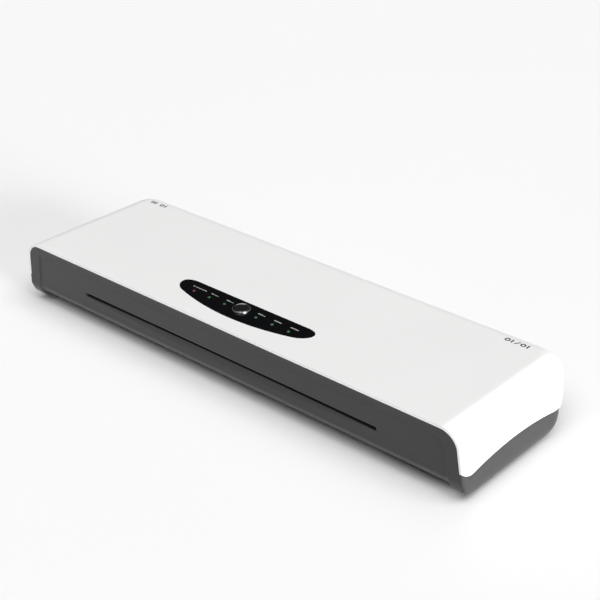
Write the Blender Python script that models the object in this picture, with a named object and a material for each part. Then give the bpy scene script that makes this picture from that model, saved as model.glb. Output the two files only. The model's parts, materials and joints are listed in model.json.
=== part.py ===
"""Pouch laminator for 330 mm wide pouches: two pairs of driven rollers with heater plates between
them, inside a white cover and a dark grey base, with one mode button and two rear rocker switches.

The script's own unit is the millimetre; meshes are scaled to metres when they are made.
The origin is under the middle of the case, on the surface that it stands on.
+X is to the right, +Y to the rear, +Z up. Pouches go in at the front, towards +Y.
"""
import bpy
import bmesh
from math import acos, cos, hypot, pi, radians, sin, sqrt, tan
from mathutils import Vector

MM = 0.001
GAP = 0.3                    # clearance between pieces that rest on each other

# Case
HALF_WIDTH = 239.9           # at the height of the fascia's top edge
FLARE = 0.1313               # how much the ends lean out, per unit of height
FRONT = -76.75               # front of the cover at the fascia's top edge
REAR = 76.9
LEAN = 0.0677                # how much the front leans back towards its foot, per unit of height
TOP = 64.1
WALL = 2.2
RIM = TOP - WALL             # top edge of the fascia
EDGE_ROUND = 15.0            # rounding of the cover's top edges
CORNER_ROUND = 18.0          # cover's rear corners, seen from above
TUCK_START = 46.0            # below this height the cover's rear curves in
REAR_TUCK = 4.6              # and by this much at its lower edge
SKIRT_MIDDLE = 28.4          # height of the cover's lower edge half way along its ends
SKIRT_LOW = 23.8             # and at its lowest, near the front and at the rear
ARCH_CENTRE = -6.0           # where along an end the lower edge is highest
ARCH_REACH = 56.0            # from there to the front, where the edge has dropped by ARCH_RISE
ARCH_RISE = 4.8
TURN_UP_START = -60.0        # the edge turns up again from here to the front corner
TURN_UP_LENGTH = 16.0
TURN_UP_RISE = 10.0

# Base
BASE_BOTTOM = 1.8            # underside of the two end runners
MIDDLE_BOTTOM = 5.8          # underside between the runners
FLOOR = 7.8                  # inner floor
BASE_REAR = 72.0
BASE_CORNER = 22.0           # base's rear corners, seen from above
BASE_FRONT_WALL = -51.8
SIDE_ROUND = 12.0
REAR_ROUND = 22.0
FRONT_ROUND = 22.0
RUNNER_START = 229.5         # the runners reach from here outwards
RUNNER_CHAMFER = 2.5
RUNNER_COLUMN = 0.957        # and so do the fascia's low ends, as a fraction of its half width
BASE_EDGE_ROUND = 2.2        # upright edges beside the fascia
LIP = 10.0                   # how far the base reaches up inside the cover
LIP_END = 1.5                # and how far at the lip's two ends
SEAM = 0.5                   # visible joint between the cover and the base
FOOT_X = 232.6
FOOT_FRONT_Y = -42.0
FOOT_REAR_Y = 32.0
FOOT_HALF_WIDTH = 2.6
FOOT_HALF_LENGTH = 9.0
FOOT_THICKNESS = 1.5

# Fascia and rear panel
FASCIA_THICKNESS = 3.5
FASCIA_CORNER = 12.3
BORDER = 8.5                 # flat border above the fascia's shallow recess
SIDE_BORDER = 12.5           # and beside it
RECESS_DEPTH = 1.0
RECESS_CORNER = 6.0
SLOT_LENGTH = 330.0
SLOT_HEIGHT = 34.0           # the pouch's path above the surface
ENTRY_SLOT_OPENING = 2.6
EXIT_SLOT_OPENING = 4.0
REAR_OPENING_HALF = 224.0
REAR_OPENING_TOP = 48.6
REAR_PANEL_FRONT = 72.0
REAR_PANEL_THICKNESS = 2.2

# Control panel
PANEL_X = -1.5               # middle of the panel, its lights and its button
PANEL_REAR = -31.3
PANEL_FRONT = -60.45         # foremost point of its curved front edge
PANEL_BULGE = 9.6            # how much the front edge curves back at PANEL_STRAIGHT
PANEL_STRAIGHT = 62.0
PANEL_THICKNESS = 2.0
PANEL_TOP = TOP - 0.05
LIGHT_ROW = -45.4
LIGHT_PITCH = 17.9
LIGHT_RADIUS = 1.5
BUTTON_Y = -43.6
BUTTON_RADIUS = 6.5
BUTTON_TOP = TOP + 2.2
BUTTON_TRAVEL = 1.2
RING_OUTER = 7.9
RING_INNER = 6.9
RING_TOP = TOP + 1.6
BOARD_TOP = 51.9
BOARD_THICKNESS = 1.6
BOARD_HALF = 72.0
BOARD_FRONT = -54.0
BOARD_REAR = -33.0
BOARD_HOLE_RADIUS = 1.6

# Rollers and gears
MODULE = 1.0
PRESSURE_ANGLE = 20.0
TOOTH_TIP = 0.9 * MODULE     # beyond the pitch circle
TOOTH_ROOT = 1.2 * MODULE    # inside it
ROLLER_TEETH = 18
IDLER_TEETH = 30
PINION_TEETH = 12
ROLLER_RADIUS = 8.85
CORE_RADIUS = 6.5
JOURNAL_RADIUS = 4.0
STUD_RADIUS = 2.9            # the idler's stud
MOTOR_SHAFT_RADIUS = 2.5
ROLLER_HALF = 167.5
CORE_HALF = 172.0
SHAFT_LEFT = -181.0
SHAFT_RIGHT = 188.5
FRONT_ROLLERS_Y = -16.75
ROLLER_PITCH = MODULE * (ROLLER_TEETH + IDLER_TEETH)
REAR_ROLLERS_Y = FRONT_ROLLERS_Y + ROLLER_PITCH
IDLER_Y = FRONT_ROLLERS_Y + ROLLER_PITCH / 2
LOWER_Z = SLOT_HEIGHT - MODULE * ROLLER_TEETH / 2
UPPER_Z = SLOT_HEIGHT + MODULE * ROLLER_TEETH / 2
PINION_Z = LOWER_Z + MODULE * (IDLER_TEETH + PINION_TEETH) / 2
GEAR_START = 181.0
GEAR_WIDTH = 6.0
BACKLASH = 0.3

# Frame inside
FRAME_X = 176.0
FRAME_THICKNESS = 2.0
FRAME_FRONT = -34.0
FRAME_REAR = 48.0
FRAME_TOP = 60.1
FRAME_FOOT_WIDTH = 10.0
FRAME_FOOT_THICKNESS = 1.5
BUSH_RADIUS = 6.0
BUSH_OVERHANG = 1.5          # past each face of the frame
BLOCK_WIDTH = 10.0
BLOCK_BOTTOM = UPPER_Z - 5.9
BLOCK_TOP = UPPER_Z + 6.1
WINDOW_TOP = UPPER_Z + 14.6
BEARING_CLEARANCE = 0.2
BRACKET_X = 189.6
BRACKET_END = 214.0
BRACKET_THICKNESS = 1.5
BRACKET_FRONT = -14.0
BRACKET_REAR = 28.0
MOTOR_RADIUS = 22.0
MOTOR_LENGTH = 20.0
MOTOR_DROP = 14.0            # from the motor's output shaft down to its middle
SHELF_TOP = SLOT_HEIGHT - 1.6
SHELF_THICKNESS = 1.5
SHELF_HALF = 166.0

# Rear switches and inlet
SWITCH_Z = 37.6
POWER_SWITCH_X = 201.0
HEAT_SWITCH_X = -208.0
INLET_X = -184.0
ROCKER_SWING = 10.0          # degrees each way from the middle
SWITCH_HALF_HEIGHT = 6.3     # of the housings, behind their bezels
SWITCH_DEPTH = 16.0
HOLE_HALF_HEIGHT = SWITCH_HALF_HEIGHT + GAP
POWER_SWITCH_HALF = 9.3
HEAT_SWITCH_HALF = 6.3
INLET_HALF = 9.4
INLET_CENTRE = INLET_X - 1.35

MATERIALS = {
    "white_plastic": ((0.83, 0.83, 0.82), 0.35, 0.0),
    "grey_plastic": ((0.085, 0.085, 0.088), 0.42, 0.0),
    "black_gloss": ((0.006, 0.006, 0.008), 0.12, 0.0),
    "black_plastic": ((0.02, 0.02, 0.022), 0.45, 0.0),
    "bright_ring": ((0.72, 0.72, 0.73), 0.2, 1.0),
    "red_lens": ((0.55, 0.05, 0.04), 0.25, 0.0),
    "green_lens": ((0.08, 0.45, 0.12), 0.25, 0.0),
    "circuit_board": ((0.05, 0.22, 0.09), 0.5, 0.0),
    "steel": ((0.55, 0.55, 0.56), 0.35, 1.0),
    "sheet_steel": ((0.6, 0.61, 0.62), 0.45, 1.0),
    "aluminium": ((0.7, 0.7, 0.71), 0.4, 1.0),
    "silicone": ((0.62, 0.22, 0.12), 0.6, 0.0),
    "gear_plastic": ((0.8, 0.78, 0.7), 0.45, 0.0),
    "bush_plastic": ((0.75, 0.72, 0.6), 0.5, 0.0),
    "foot_rubber": ((0.03, 0.03, 0.03), 0.8, 0.0),
}


# ---------------------------------------------------------------- mesh helpers

def clear_scene():
    for old in list(bpy.data.objects):
        bpy.data.objects.remove(old, do_unlink=True)


def get_material(name):
    if name in bpy.data.materials:
        return bpy.data.materials[name]
    colour, roughness, metallic = MATERIALS[name]
    made = bpy.data.materials.new(name)
    made.use_nodes = True
    shader = made.node_tree.nodes["Principled BSDF"]
    shader.inputs["Base Color"].default_value = (*colour, 1.0)
    shader.inputs["Roughness"].default_value = roughness
    shader.inputs["Metallic"].default_value = metallic
    return made


def finish_object(name, bm, material, origin=(0, 0, 0), closed=True):
    """Turn a bmesh drawn in millimetres into an object whose origin is at the given point."""
    if closed:
        bmesh.ops.recalc_face_normals(bm, faces=bm.faces)
    for vert in bm.verts:
        vert.co = (vert.co - Vector(origin)) * MM
    mesh = bpy.data.meshes.new(name)
    bm.to_mesh(mesh)
    bm.free()
    mesh.shade_smooth()
    mesh.set_sharp_from_angle(angle=radians(35))
    made = bpy.data.objects.new(name, mesh)
    made.location = Vector(origin) * MM
    if material:
        made.data.materials.append(get_material(material))
    bpy.context.scene.collection.objects.link(made)
    return made


def loft(name, loops, material, ring=False, origin=(0, 0, 0)):
    """Bridge loops of equal length; a ring joins the last loop to the first, others are capped."""
    bm = bmesh.new()
    rows = [[bm.verts.new(point) for point in loop] for loop in loops]
    pairs = list(zip(rows, rows[1:]))
    if ring:
        pairs.append((rows[-1], rows[0]))
    count = len(rows[0])
    for lower, upper in pairs:
        for i in range(count):
            j = (i + 1) % count
            bm.faces.new((lower[i], lower[j], upper[j], upper[i]))
    if not ring:
        bm.faces.new(rows[0][::-1])
        bm.faces.new(rows[-1])
    return finish_object(name, bm, material, origin)


def place(u, v, w, axis):
    """A point of an outline (u, v) at the height w along the axis that it is extruded along."""
    if axis == "X":
        return (w, u, v)
    if axis == "Y":
        return (u, w, v)
    return (u, v, w)


def plate(name, outlines, axis, start, thickness, material, origin=(0, 0, 0)):
    """Extrude an outline, and the holes that follow it in the list, along one axis."""
    bm = bmesh.new()
    edges = []
    for outline in outlines:
        verts = [bm.verts.new(place(u, v, start, axis)) for u, v in outline]
        for i, vert in enumerate(verts):
            edges.append(bm.edges.new((vert, verts[(i + 1) % len(verts)])))
    bmesh.ops.triangle_fill(bm, use_beauty=True, use_dissolve=False, edges=edges)
    grown = bmesh.ops.extrude_face_region(bm, geom=list(bm.faces))
    shift = Vector(place(0, 0, thickness, axis))
    moved = [item for item in grown["geom"] if isinstance(item, bmesh.types.BMVert)]
    bmesh.ops.translate(bm, vec=shift, verts=moved)
    return finish_object(name, bm, material, origin)


def circle(u, v, radius, segments=20):
    turns = [2 * pi * i / segments for i in range(segments)]
    return [(u + radius * cos(t), v + radius * sin(t)) for t in turns]


def rectangle(u0, v0, u1, v1):
    return [(u0, v0), (u1, v0), (u1, v1), (u0, v1)]


def rounded_rectangle(u0, v0, u1, v1, radius, steps=3):
    points = []
    corners = ((u1, v0, -90), (u1, v1, 0), (u0, v1, 90), (u0, v0, 180))
    for u, v, first in corners:
        centre_u = u - radius if u == u1 else u + radius
        centre_v = v - radius if v == v1 else v + radius
        for i in range(steps + 1):
            t = radians(first + 90 * i / steps)
            points.append((centre_u + radius * cos(t), centre_v + radius * sin(t)))
    return points


def turned(name, profile, centre, axis, material, ring=False, segments=24, origin=None):
    """Revolve (distance along the axis, radius) points round an X, Y or Z axis."""
    loops = []
    for along, radius in profile:
        flat = circle(centre[0], centre[1], radius, segments)
        loops.append([place(u, v, along, axis) for u, v in flat])
    if origin is None:
        origin = place(centre[0], centre[1], profile[0][0], axis)
    return loft(name, loops, material, ring, origin)


def tube(name, start, end, inner, outer, centre, axis, material, segments=24):
    profile = ((start, inner), (start, outer), (end, outer), (end, inner))
    return turned(name, profile, centre, axis, material, True, segments)


def cut(target, cutter):
    """Take a hidden cutter out of a target with a Boolean modifier."""
    cutter.hide_render = True
    cutter.display_type = "WIRE"
    modifier = target.modifiers.new("cut " + cutter.name, "BOOLEAN")
    modifier.operation = "DIFFERENCE"
    modifier.solver = "EXACT"
    modifier.object = cutter


# ---------------------------------------------------------------- shape of the case

def round_inset(drop, radius):
    """How far a quarter round has moved in when it is `drop` past its start."""
    drop = min(max(drop, 0.0), radius)
    return radius - sqrt(radius * radius - drop * drop)


def case_half(z):
    """Half width of the flared case, before any rounding."""
    return HALF_WIDTH + FLARE * (RIM - z)


def front_y(z):
    return FRONT + LEAN * (RIM - z)


def rear_y(z):
    """Rear of the cover at one height."""
    return REAR - REAR_TUCK * (max(0.0, TUCK_START - z) / (TUCK_START - SKIRT_LOW)) ** 2


def skirt_z(y):
    """Height of the cover's lower edge: an arch along the end, turned up at the front corner."""
    arch = SKIRT_MIDDLE - ARCH_RISE * ((y - ARCH_CENTRE) / ARCH_REACH) ** 2
    past = max(0.0, TURN_UP_START - y)
    if y < TURN_UP_START + 2.0:
        return arch + TURN_UP_RISE * (past / TURN_UP_LENGTH) ** 2
    return max(arch, SKIRT_LOW)


END_STATIONS = (0.0, 0.035, 0.07, 0.12, 0.2, 0.3, 0.42, 0.55, 0.68, 0.8, 0.9, 1.0)


def end_and_corner(half, first_y, rear, corner, corner_steps=4):
    """Right-hand end from the front to the rear, then the rear corner, as (x, y) points."""
    points = []
    for station in END_STATIONS:
        points.append((half, first_y + station * (rear - corner - first_y)))
    for i in range(1, corner_steps + 1):
        t = radians(90 * i / corner_steps)
        points.append((half - corner + corner * cos(t), rear - corner + corner * sin(t)))
    return points


def mirrored(points):
    """Right-hand points, then their mirror image in reverse: a loop, open across the front."""
    return points + [(-x, y) for x, y in reversed(points)]


def make_top_cover():
    bm = bmesh.new()
    rows = []
    steps = 6
    for i in range(steps + 1):
        t = radians(90 * i / steps)
        z = TOP - EDGE_ROUND * (1 - cos(t))
        inset = EDGE_ROUND * (1 - sin(t))
        corner = CORNER_ROUND - 0.7 * inset
        plan = mirrored(end_and_corner(case_half(z) - inset, front_y(z), REAR - inset, corner))
        rows.append([bm.verts.new((x, y, z)) for x, y in plan])
    for z in (TUCK_START - 6, TUCK_START - 12):
        plan = mirrored(end_and_corner(case_half(z), front_y(z), rear_y(z), CORNER_ROUND))
        rows.append([bm.verts.new((x, y, z)) for x, y in plan])
    plan = mirrored(end_and_corner(case_half(SKIRT_LOW), front_y(SKIRT_LOW), rear_y(SKIRT_LOW),
                                   CORNER_ROUND))
    row = []
    for x, y in plan:
        z = skirt_z(y)
        side = 1 if x > 0 else -1
        lean_in = case_half(SKIRT_LOW) - case_half(z)
        row.append(bm.verts.new((x - side * lean_in, y, z)))
    rows.append(row)
    for upper, lower in zip(rows, rows[1:]):
        for i in range(len(upper) - 1):
            bm.faces.new((upper[i], lower[i], lower[i + 1], upper[i + 1]))
    bm.faces.new(rows[0])
    cover = finish_object("top_cover", bm, "white_plastic", closed=False)
    solidify = cover.modifiers.new("wall", "SOLIDIFY")
    solidify.thickness = WALL * MM
    solidify.offset = -1
    solidify.use_even_offset = True
    past = 10.0
    window = plate("panel_window", [panel_outline(GAP)], "Z", TOP - past, 2 * past, None)
    cut(cover, window)
    opening = rectangle(-REAR_OPENING_HALF, SKIRT_LOW - past, REAR_OPENING_HALF,
                        REAR_OPENING_TOP)
    cut(cover, plate("rear_opening", [opening], "Y", REAR - past, 2 * past, None))


def base_outer(z):
    """Loop of the base's outside at one height, with a rebate beside each end of the fascia."""
    side_inset = round_inset(BASE_BOTTOM + SIDE_ROUND - z, SIDE_ROUND)
    rear_inset = round_inset(BASE_BOTTOM + REAR_ROUND - z, REAR_ROUND)
    half = case_half(z) - side_inset
    first = front_y(z) + round_inset(BASE_BOTTOM + FRONT_ROUND - z, FRONT_ROUND)
    rear = BASE_REAR - rear_inset
    corner = BASE_CORNER + 0.12 * rear_inset
    flank = WALL + GAP
    edge = BASE_EDGE_ROUND
    points = [(half - flank, BASE_FRONT_WALL), (half - flank, first)]
    for i in (0, 1, 2):
        t = radians(-90 + 30 * i)
        points.append((half - edge + edge * cos(t), first + edge + edge * sin(t)))
    return points + end_and_corner(half, first + edge, rear, corner)


def base_inner(z, inset):
    """Loop inside the base's outer skin, parallel to it, with as many points as base_outer."""
    half = case_half(z) - inset
    first = BASE_FRONT_WALL + inset - WALL - GAP
    step = 0.3
    points = [(half, first + step * (i + 1)) for i in range(5)]
    rear_inset = inset + round_inset(BASE_BOTTOM + REAR_ROUND - z, REAR_ROUND)
    corner = BASE_CORNER - 2.0
    return points + end_and_corner(half, first + 6 * step, BASE_REAR - rear_inset, corner)


def raised_loop(points, height):
    """Give each plan point its own height and the case's lean at that height."""
    lifted = []
    for x, y in mirrored(points):
        z = height(y)
        side = 1 if x > 0 else -1
        lifted.append((x + side * (case_half(z) - case_half(SKIRT_LOW)), y, z))
    return lifted


def skirt_top(y):
    return skirt_z(y) - SEAM


def lip_foot(y):
    return skirt_z(max(y, BASE_FRONT_WALL)) - SEAM


def lip_top(y):
    ramp = min(max((y + 47.0) / 15.0, 0.0), 1.0) * min(max((62.0 - y) / 12.0, 0.0), 1.0)
    return lip_foot(y) + LIP_END + (LIP - LIP_END) * ramp


def make_base_tray():
    loops = []
    for rise in (0.0, 0.3, 1.2, 2.8, 5.2, 8.0, 12.0, 18.0):
        z = BASE_BOTTOM + rise
        loops.append([(x, y, z) for x, y in mirrored(base_outer(z))])
    lip_inset = WALL + GAP
    inner_inset = lip_inset + WALL
    loops.append(raised_loop(base_outer(SKIRT_LOW), skirt_top))
    lip_outer = base_inner(SKIRT_LOW, lip_inset)
    lip_inner = base_inner(SKIRT_LOW, inner_inset)
    loops.append(raised_loop(lip_outer, lip_foot))
    loops.append(raised_loop(lip_outer, lip_top))
    loops.append(raised_loop(lip_inner, lip_top))
    floor_rounding = 3.0
    for z, inset in ((14.0, inner_inset), (FLOOR, inner_inset + floor_rounding)):
        loops.append([(x, y, z) for x, y in mirrored(base_inner(z, inset))])
    base = loft("base_tray", loops, "grey_plastic")
    foot = RUNNER_START
    shoulder = RUNNER_START - RUNNER_CHAMFER
    below = BASE_BOTTOM - 3
    tunnel = [(-foot, below), (foot, below), (foot, BASE_BOTTOM), (shoulder, MIDDLE_BOTTOM),
              (-shoulder, MIDDLE_BOTTOM), (-foot, BASE_BOTTOM)]
    cut(base, plate("runner_tunnel", [tunnel], "Y", FRONT - 5, REAR - FRONT + 10, None))
    relief = [(y, skirt_top(y)) for y in range(-80, -46, 3)] + [(-47, 60), (-80, 60)]
    inner_x = case_half(SKIRT_LOW) - WALL - 1.5
    cut(base, plate("skirt_relief_right", [relief], "X", inner_x, 10, None))
    cut(base, plate("skirt_relief_left", [relief], "X", -inner_x - 10, 10, None))


def fascia_columns():
    """Fractions of the half width, with the top corner's arc and the height of the top there."""
    corner_x = case_half(RIM) - WALL - GAP
    columns = [(0.0, 0.0), (0.3, 0.0), (0.6, 0.0)]
    for degrees in (0, 10, 26, 42, 58, 74, 90):
        t = radians(degrees)
        x = corner_x - FASCIA_CORNER * (1 - sin(t))
        columns.append((x / corner_x, FASCIA_CORNER * (1 - cos(t))))
    return [(-u, drop) for u, drop in reversed(columns[1:])] + columns


def fascia_row_points(u, drop, inset):
    """Points down the fascia at one column; inset moves them in from the front face."""
    bottom = (BASE_BOTTOM if abs(u) >= RUNNER_COLUMN else MIDDLE_BOTTOM) + inset
    radius = FRONT_ROUND - inset
    points = []
    flat_top = RIM - GAP - drop
    flat_bottom = bottom + radius
    for i in range(3):
        z = flat_top + (flat_bottom - flat_top) * i / 2
        points.append((z, front_y(z) + 0.3 + inset))
    start_y = front_y(flat_bottom) + 0.3 + inset
    for i in range(1, 6):
        t = radians(18 * i)
        z = flat_bottom - radius * sin(t)
        points.append((z, start_y + radius * (1 - cos(t))))
    placed = []
    for z, y in points:
        edge = WALL + 2 * GAP + 0.15 + round_inset(BASE_BOTTOM + SIDE_ROUND - z, SIDE_ROUND)
        placed.append((u * (case_half(z) - edge), y, z))
    return placed


def make_front_fascia():
    bm = bmesh.new()
    grids = []
    for inset in (0.0, FASCIA_THICKNESS):
        grid = [[bm.verts.new(p) for p in fascia_row_points(u, drop, inset)]
                for u, drop in fascia_columns()]
        grids.append(grid)
    front, back = grids
    columns = len(front)
    rows = len(front[0])
    for grid in grids:
        for c in range(columns - 1):
            for r in range(rows - 1):
                bm.faces.new((grid[c][r], grid[c + 1][r], grid[c + 1][r + 1], grid[c][r + 1]))
    for c in range(columns - 1):
        for r in (0, rows - 1):
            bm.faces.new((front[c][r], front[c + 1][r], back[c + 1][r], back[c][r]))
    for r in range(rows - 1):
        for c in (0, columns - 1):
            bm.faces.new((front[c][r], front[c][r + 1], back[c][r + 1], back[c][r]))
    fascia = finish_object("front_fascia", bm, "grey_plastic")
    top_half = case_half(RIM) - WALL - SIDE_BORDER
    top_z = RIM - BORDER
    low_z = BASE_BOTTOM + 6.6
    corner = RECESS_CORNER
    outline = [(top_half + FLARE * (top_z - low_z), low_z), (top_half, top_z - corner)]
    for i in range(1, 5):
        t = radians(22.5 * i)
        outline.append((top_half - corner + corner * cos(t), top_z - corner + corner * sin(t)))
    outline = outline + [(-x, z) for x, z in reversed(outline)]
    recess = plate("fascia_recess", [outline], "Y", FRONT - 10, 11 + RECESS_DEPTH, None)
    for vert in recess.data.vertices:
        vert.co.y += LEAN * (RIM * MM - vert.co.z)
    cut(fascia, recess)
    slot = rectangle(-SLOT_LENGTH / 2, SLOT_HEIGHT - ENTRY_SLOT_OPENING / 2,
                     SLOT_LENGTH / 2, SLOT_HEIGHT + ENTRY_SLOT_OPENING / 2)
    cut(fascia, plate("entry_slot", [slot], "Y", FRONT - 5, 20, None))


def make_rear_panel():
    half = REAR_OPENING_HALF - GAP
    outline = rounded_rectangle(-half, SKIRT_LOW, half, REAR_OPENING_TOP - GAP, 1.5, 2)
    slot_half = SLOT_LENGTH / 2 + 2
    slot = rectangle(-slot_half, SLOT_HEIGHT - EXIT_SLOT_OPENING / 2,
                     slot_half, SLOT_HEIGHT + EXIT_SLOT_OPENING / 2)
    low = SWITCH_Z - HOLE_HALF_HEIGHT
    high = SWITCH_Z + HOLE_HALF_HEIGHT
    holes = [slot]
    for x, half_width in ((POWER_SWITCH_X, POWER_SWITCH_HALF), (HEAT_SWITCH_X, HEAT_SWITCH_HALF)):
        reach = half_width + GAP
        holes.append(rectangle(x - reach, low, x + reach, high))
    reach = INLET_HALF + 0.55
    holes.append(rounded_rectangle(INLET_CENTRE - reach, low, INLET_CENTRE + reach, high, 3, 2))
    plate("rear_panel", [outline] + holes, "Y", REAR_PANEL_FRONT, REAR_PANEL_THICKNESS,
          "grey_plastic")


def make_feet():
    for side, side_name in ((-1, "left"), (1, "right")):
        for y, end_name in ((FOOT_FRONT_Y, "front"), (FOOT_REAR_Y, "rear")):
            x = side * FOOT_X
            outline = rounded_rectangle(x - FOOT_HALF_WIDTH, y - FOOT_HALF_LENGTH,
                                        x + FOOT_HALF_WIDTH, y + FOOT_HALF_LENGTH, 2.5, 4)
            plate("foot_%s_%s" % (end_name, side_name), [outline], "Z", 0.0,
                  FOOT_THICKNESS, "foot_rubber")


# ---------------------------------------------------------------- control panel

def bezier(a, b, c, d, steps):
    points = []
    for i in range(steps + 1):
        t = i / steps
        s = 1 - t
        weights = (s * s * s, 3 * s * s * t, 3 * s * t * t, t * t * t)
        points.append(tuple(sum(w * p[k] for w, p in zip(weights, (a, b, c, d)))
                            for k in range(2)))
    return points


def panel_outline(grow=0.0):
    """Straight rear edge, curved front edge and full round ends; grow moves it outwards."""
    right = []
    for i in range(5):
        x = PANEL_STRAIGHT * i / 5
        right.append((x, PANEL_FRONT + PANEL_BULGE * (x / PANEL_STRAIGHT) ** 2))
    shoulder = (PANEL_STRAIGHT, PANEL_FRONT + PANEL_BULGE)
    right += bezier(shoulder, (75.5, shoulder[1] + 4.2), (80.5, PANEL_REAR),
                    (PANEL_STRAIGHT, PANEL_REAR), 8)
    left = [(-x, y) for x, y in reversed(right[1:])]
    outline = [(PANEL_X + x, y) for x, y in right + left]
    if not grow:
        return outline
    grown = []
    count = len(outline)
    for i, (x, y) in enumerate(outline):
        before = outline[i - 1]
        after = outline[(i + 1) % count]
        tangent = (after[0] - before[0], after[1] - before[1])
        length = hypot(*tangent)
        grown.append((x + grow * tangent[1] / length, y - grow * tangent[0] / length))
    return grown


def light_positions():
    return [PANEL_X + LIGHT_PITCH * i for i in (-3, -2, -1, 1, 2, 3)]


def make_control_panel():
    holes = [circle(x, LIGHT_ROW, LIGHT_RADIUS + GAP, 12) for x in light_positions()]
    holes.append(circle(PANEL_X, BUTTON_Y, RING_OUTER + GAP, 28))
    plate("control_panel", [panel_outline()] + holes, "Z", PANEL_TOP - PANEL_THICKNESS,
          PANEL_THICKNESS, "black_gloss")
    names = ["power_light"] + ["preset_light_%d" % i for i in range(1, 6)]
    for name, x in zip(names, light_positions()):
        flange = LIGHT_RADIUS + 0.7
        shoulder = BOARD_TOP + 3.0
        profile = [(BOARD_TOP + GAP, flange), (shoulder, flange),
                   (shoulder, LIGHT_RADIUS), (TOP - 0.2, LIGHT_RADIUS),
                   (TOP + 0.1, LIGHT_RADIUS * 0.6)]
        turned(name, profile, (x, LIGHT_ROW), "Z",
               "red_lens" if name == "power_light" else "green_lens", segments=12)
    ring_foot = PANEL_TOP - PANEL_THICKNESS
    ring_profile = [(ring_foot, RING_INNER), (ring_foot, RING_OUTER), (TOP + 0.2, RING_OUTER),
                    (RING_TOP - 0.3, RING_INNER + 0.6), (RING_TOP, RING_INNER + 0.3),
                    (RING_TOP - 0.2, RING_INNER)]
    turned("button_ring", ring_profile, (PANEL_X, BUTTON_Y), "Z", "bright_ring", True, 28)


def make_mode_button():
    stem_foot = BOARD_TOP + 5.0
    stem_radius = 2.0
    head_foot = PANEL_TOP - 3.0
    profile = [(stem_foot + BUTTON_TRAVEL + GAP, stem_radius), (head_foot, stem_radius),
               (head_foot, BUTTON_RADIUS), (BUTTON_TOP - 0.8, BUTTON_RADIUS),
               (BUTTON_TOP - 0.2, BUTTON_RADIUS - 0.9), (BUTTON_TOP, BUTTON_RADIUS - 2.6)]
    turned("mode_button", profile, (PANEL_X, BUTTON_Y), "Z", "black_plastic", segments=28)
    tact = [(BOARD_TOP + GAP, 3.2), (BOARD_TOP + 3.6, 3.2), (BOARD_TOP + 3.6, 1.7),
            (stem_foot, 1.7)]
    turned("tact_switch", tact, (PANEL_X, BUTTON_Y), "Z", "black_plastic", segments=12)


def make_control_board():
    outline = rectangle(-BOARD_HALF, BOARD_FRONT, BOARD_HALF, BOARD_REAR)
    hole_y = BOARD_FRONT + 3
    holes = [circle(x, hole_y, BOARD_HOLE_RADIUS, 10) for x in (-BOARD_HALF + 6, BOARD_HALF - 6)]
    plate("control_board", [outline] + holes, "Z", BOARD_TOP - BOARD_THICKNESS,
          BOARD_THICKNESS, "circuit_board")


# ---------------------------------------------------------------- rollers and gears

def involute(angle):
    return tan(angle) - angle


def gear_outline(teeth, centre, phase):
    """Involute outline with backlash; a tooth is centred on the angle phase."""
    pitch = MODULE * teeth / 2
    base = pitch * cos(radians(PRESSURE_ANGLE))
    root = pitch - TOOTH_ROOT
    tip = pitch + TOOTH_TIP
    half_pitch = pi / (2 * teeth) - BACKLASH / (2 * pitch)
    flank = []
    for radius in (max(base, root + 0.05), pitch, tip):
        roll = acos(min(1.0, base / radius))
        flank.append((radius, half_pitch + involute(radians(PRESSURE_ANGLE)) - involute(roll)))
    points = []
    for tooth in range(teeth):
        middle = phase + 2 * pi * tooth / teeth
        rising = [(root, flank[0][1])] + flank
        for radius, half in rising:
            points.append((radius, middle - half))
        for radius, half in reversed(rising):
            points.append((radius, middle + half))
    return [(centre[0] + r * cos(t), centre[1] + r * sin(t)) for r, t in points]


def make_gear(name, teeth, centre, phase, bore):
    outline = gear_outline(teeth, centre, phase)
    hole = circle(centre[0], centre[1], bore, 16)
    plate(name, [outline, hole], "X", GEAR_START, GEAR_WIDTH, "gear_plastic",
          origin=(GEAR_START, centre[0], centre[1]))


def make_gears():
    """Every roller gear has a gap facing the idler or its own partner, and they a tooth."""
    half_tooth = pi / ROLLER_TEETH
    for row, y, phase in (("front", FRONT_ROLLERS_Y, 0.0), ("rear", REAR_ROLLERS_Y, pi)):
        lower_phase = phase + half_tooth
        make_gear("%s_lower_gear" % row, ROLLER_TEETH, (y, LOWER_Z), lower_phase,
                  JOURNAL_RADIUS + GAP)
        # seen from the lower gear the upper one is straight up, at 90 degrees
        pitch_angle = 2 * pi / ROLLER_TEETH
        offset = (pi / 2 - lower_phase) % pitch_angle
        upper_phase = -pi / 2 + half_tooth + offset
        make_gear("%s_upper_gear" % row, ROLLER_TEETH, (y, UPPER_Z), upper_phase,
                  JOURNAL_RADIUS + GAP)
    make_gear("idler_gear", IDLER_TEETH, (IDLER_Y, LOWER_Z), 0.0, STUD_RADIUS + GAP)
    idler_step = 2 * pi / IDLER_TEETH
    idler_offset = (pi / 2) % idler_step
    ratio = IDLER_TEETH / PINION_TEETH
    pinion_phase = -pi / 2 + pi / PINION_TEETH + idler_offset * ratio
    make_gear("pinion_gear", PINION_TEETH, (IDLER_Y, PINION_Z), pinion_phase,
              MOTOR_SHAFT_RADIUS + GAP)


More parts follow.
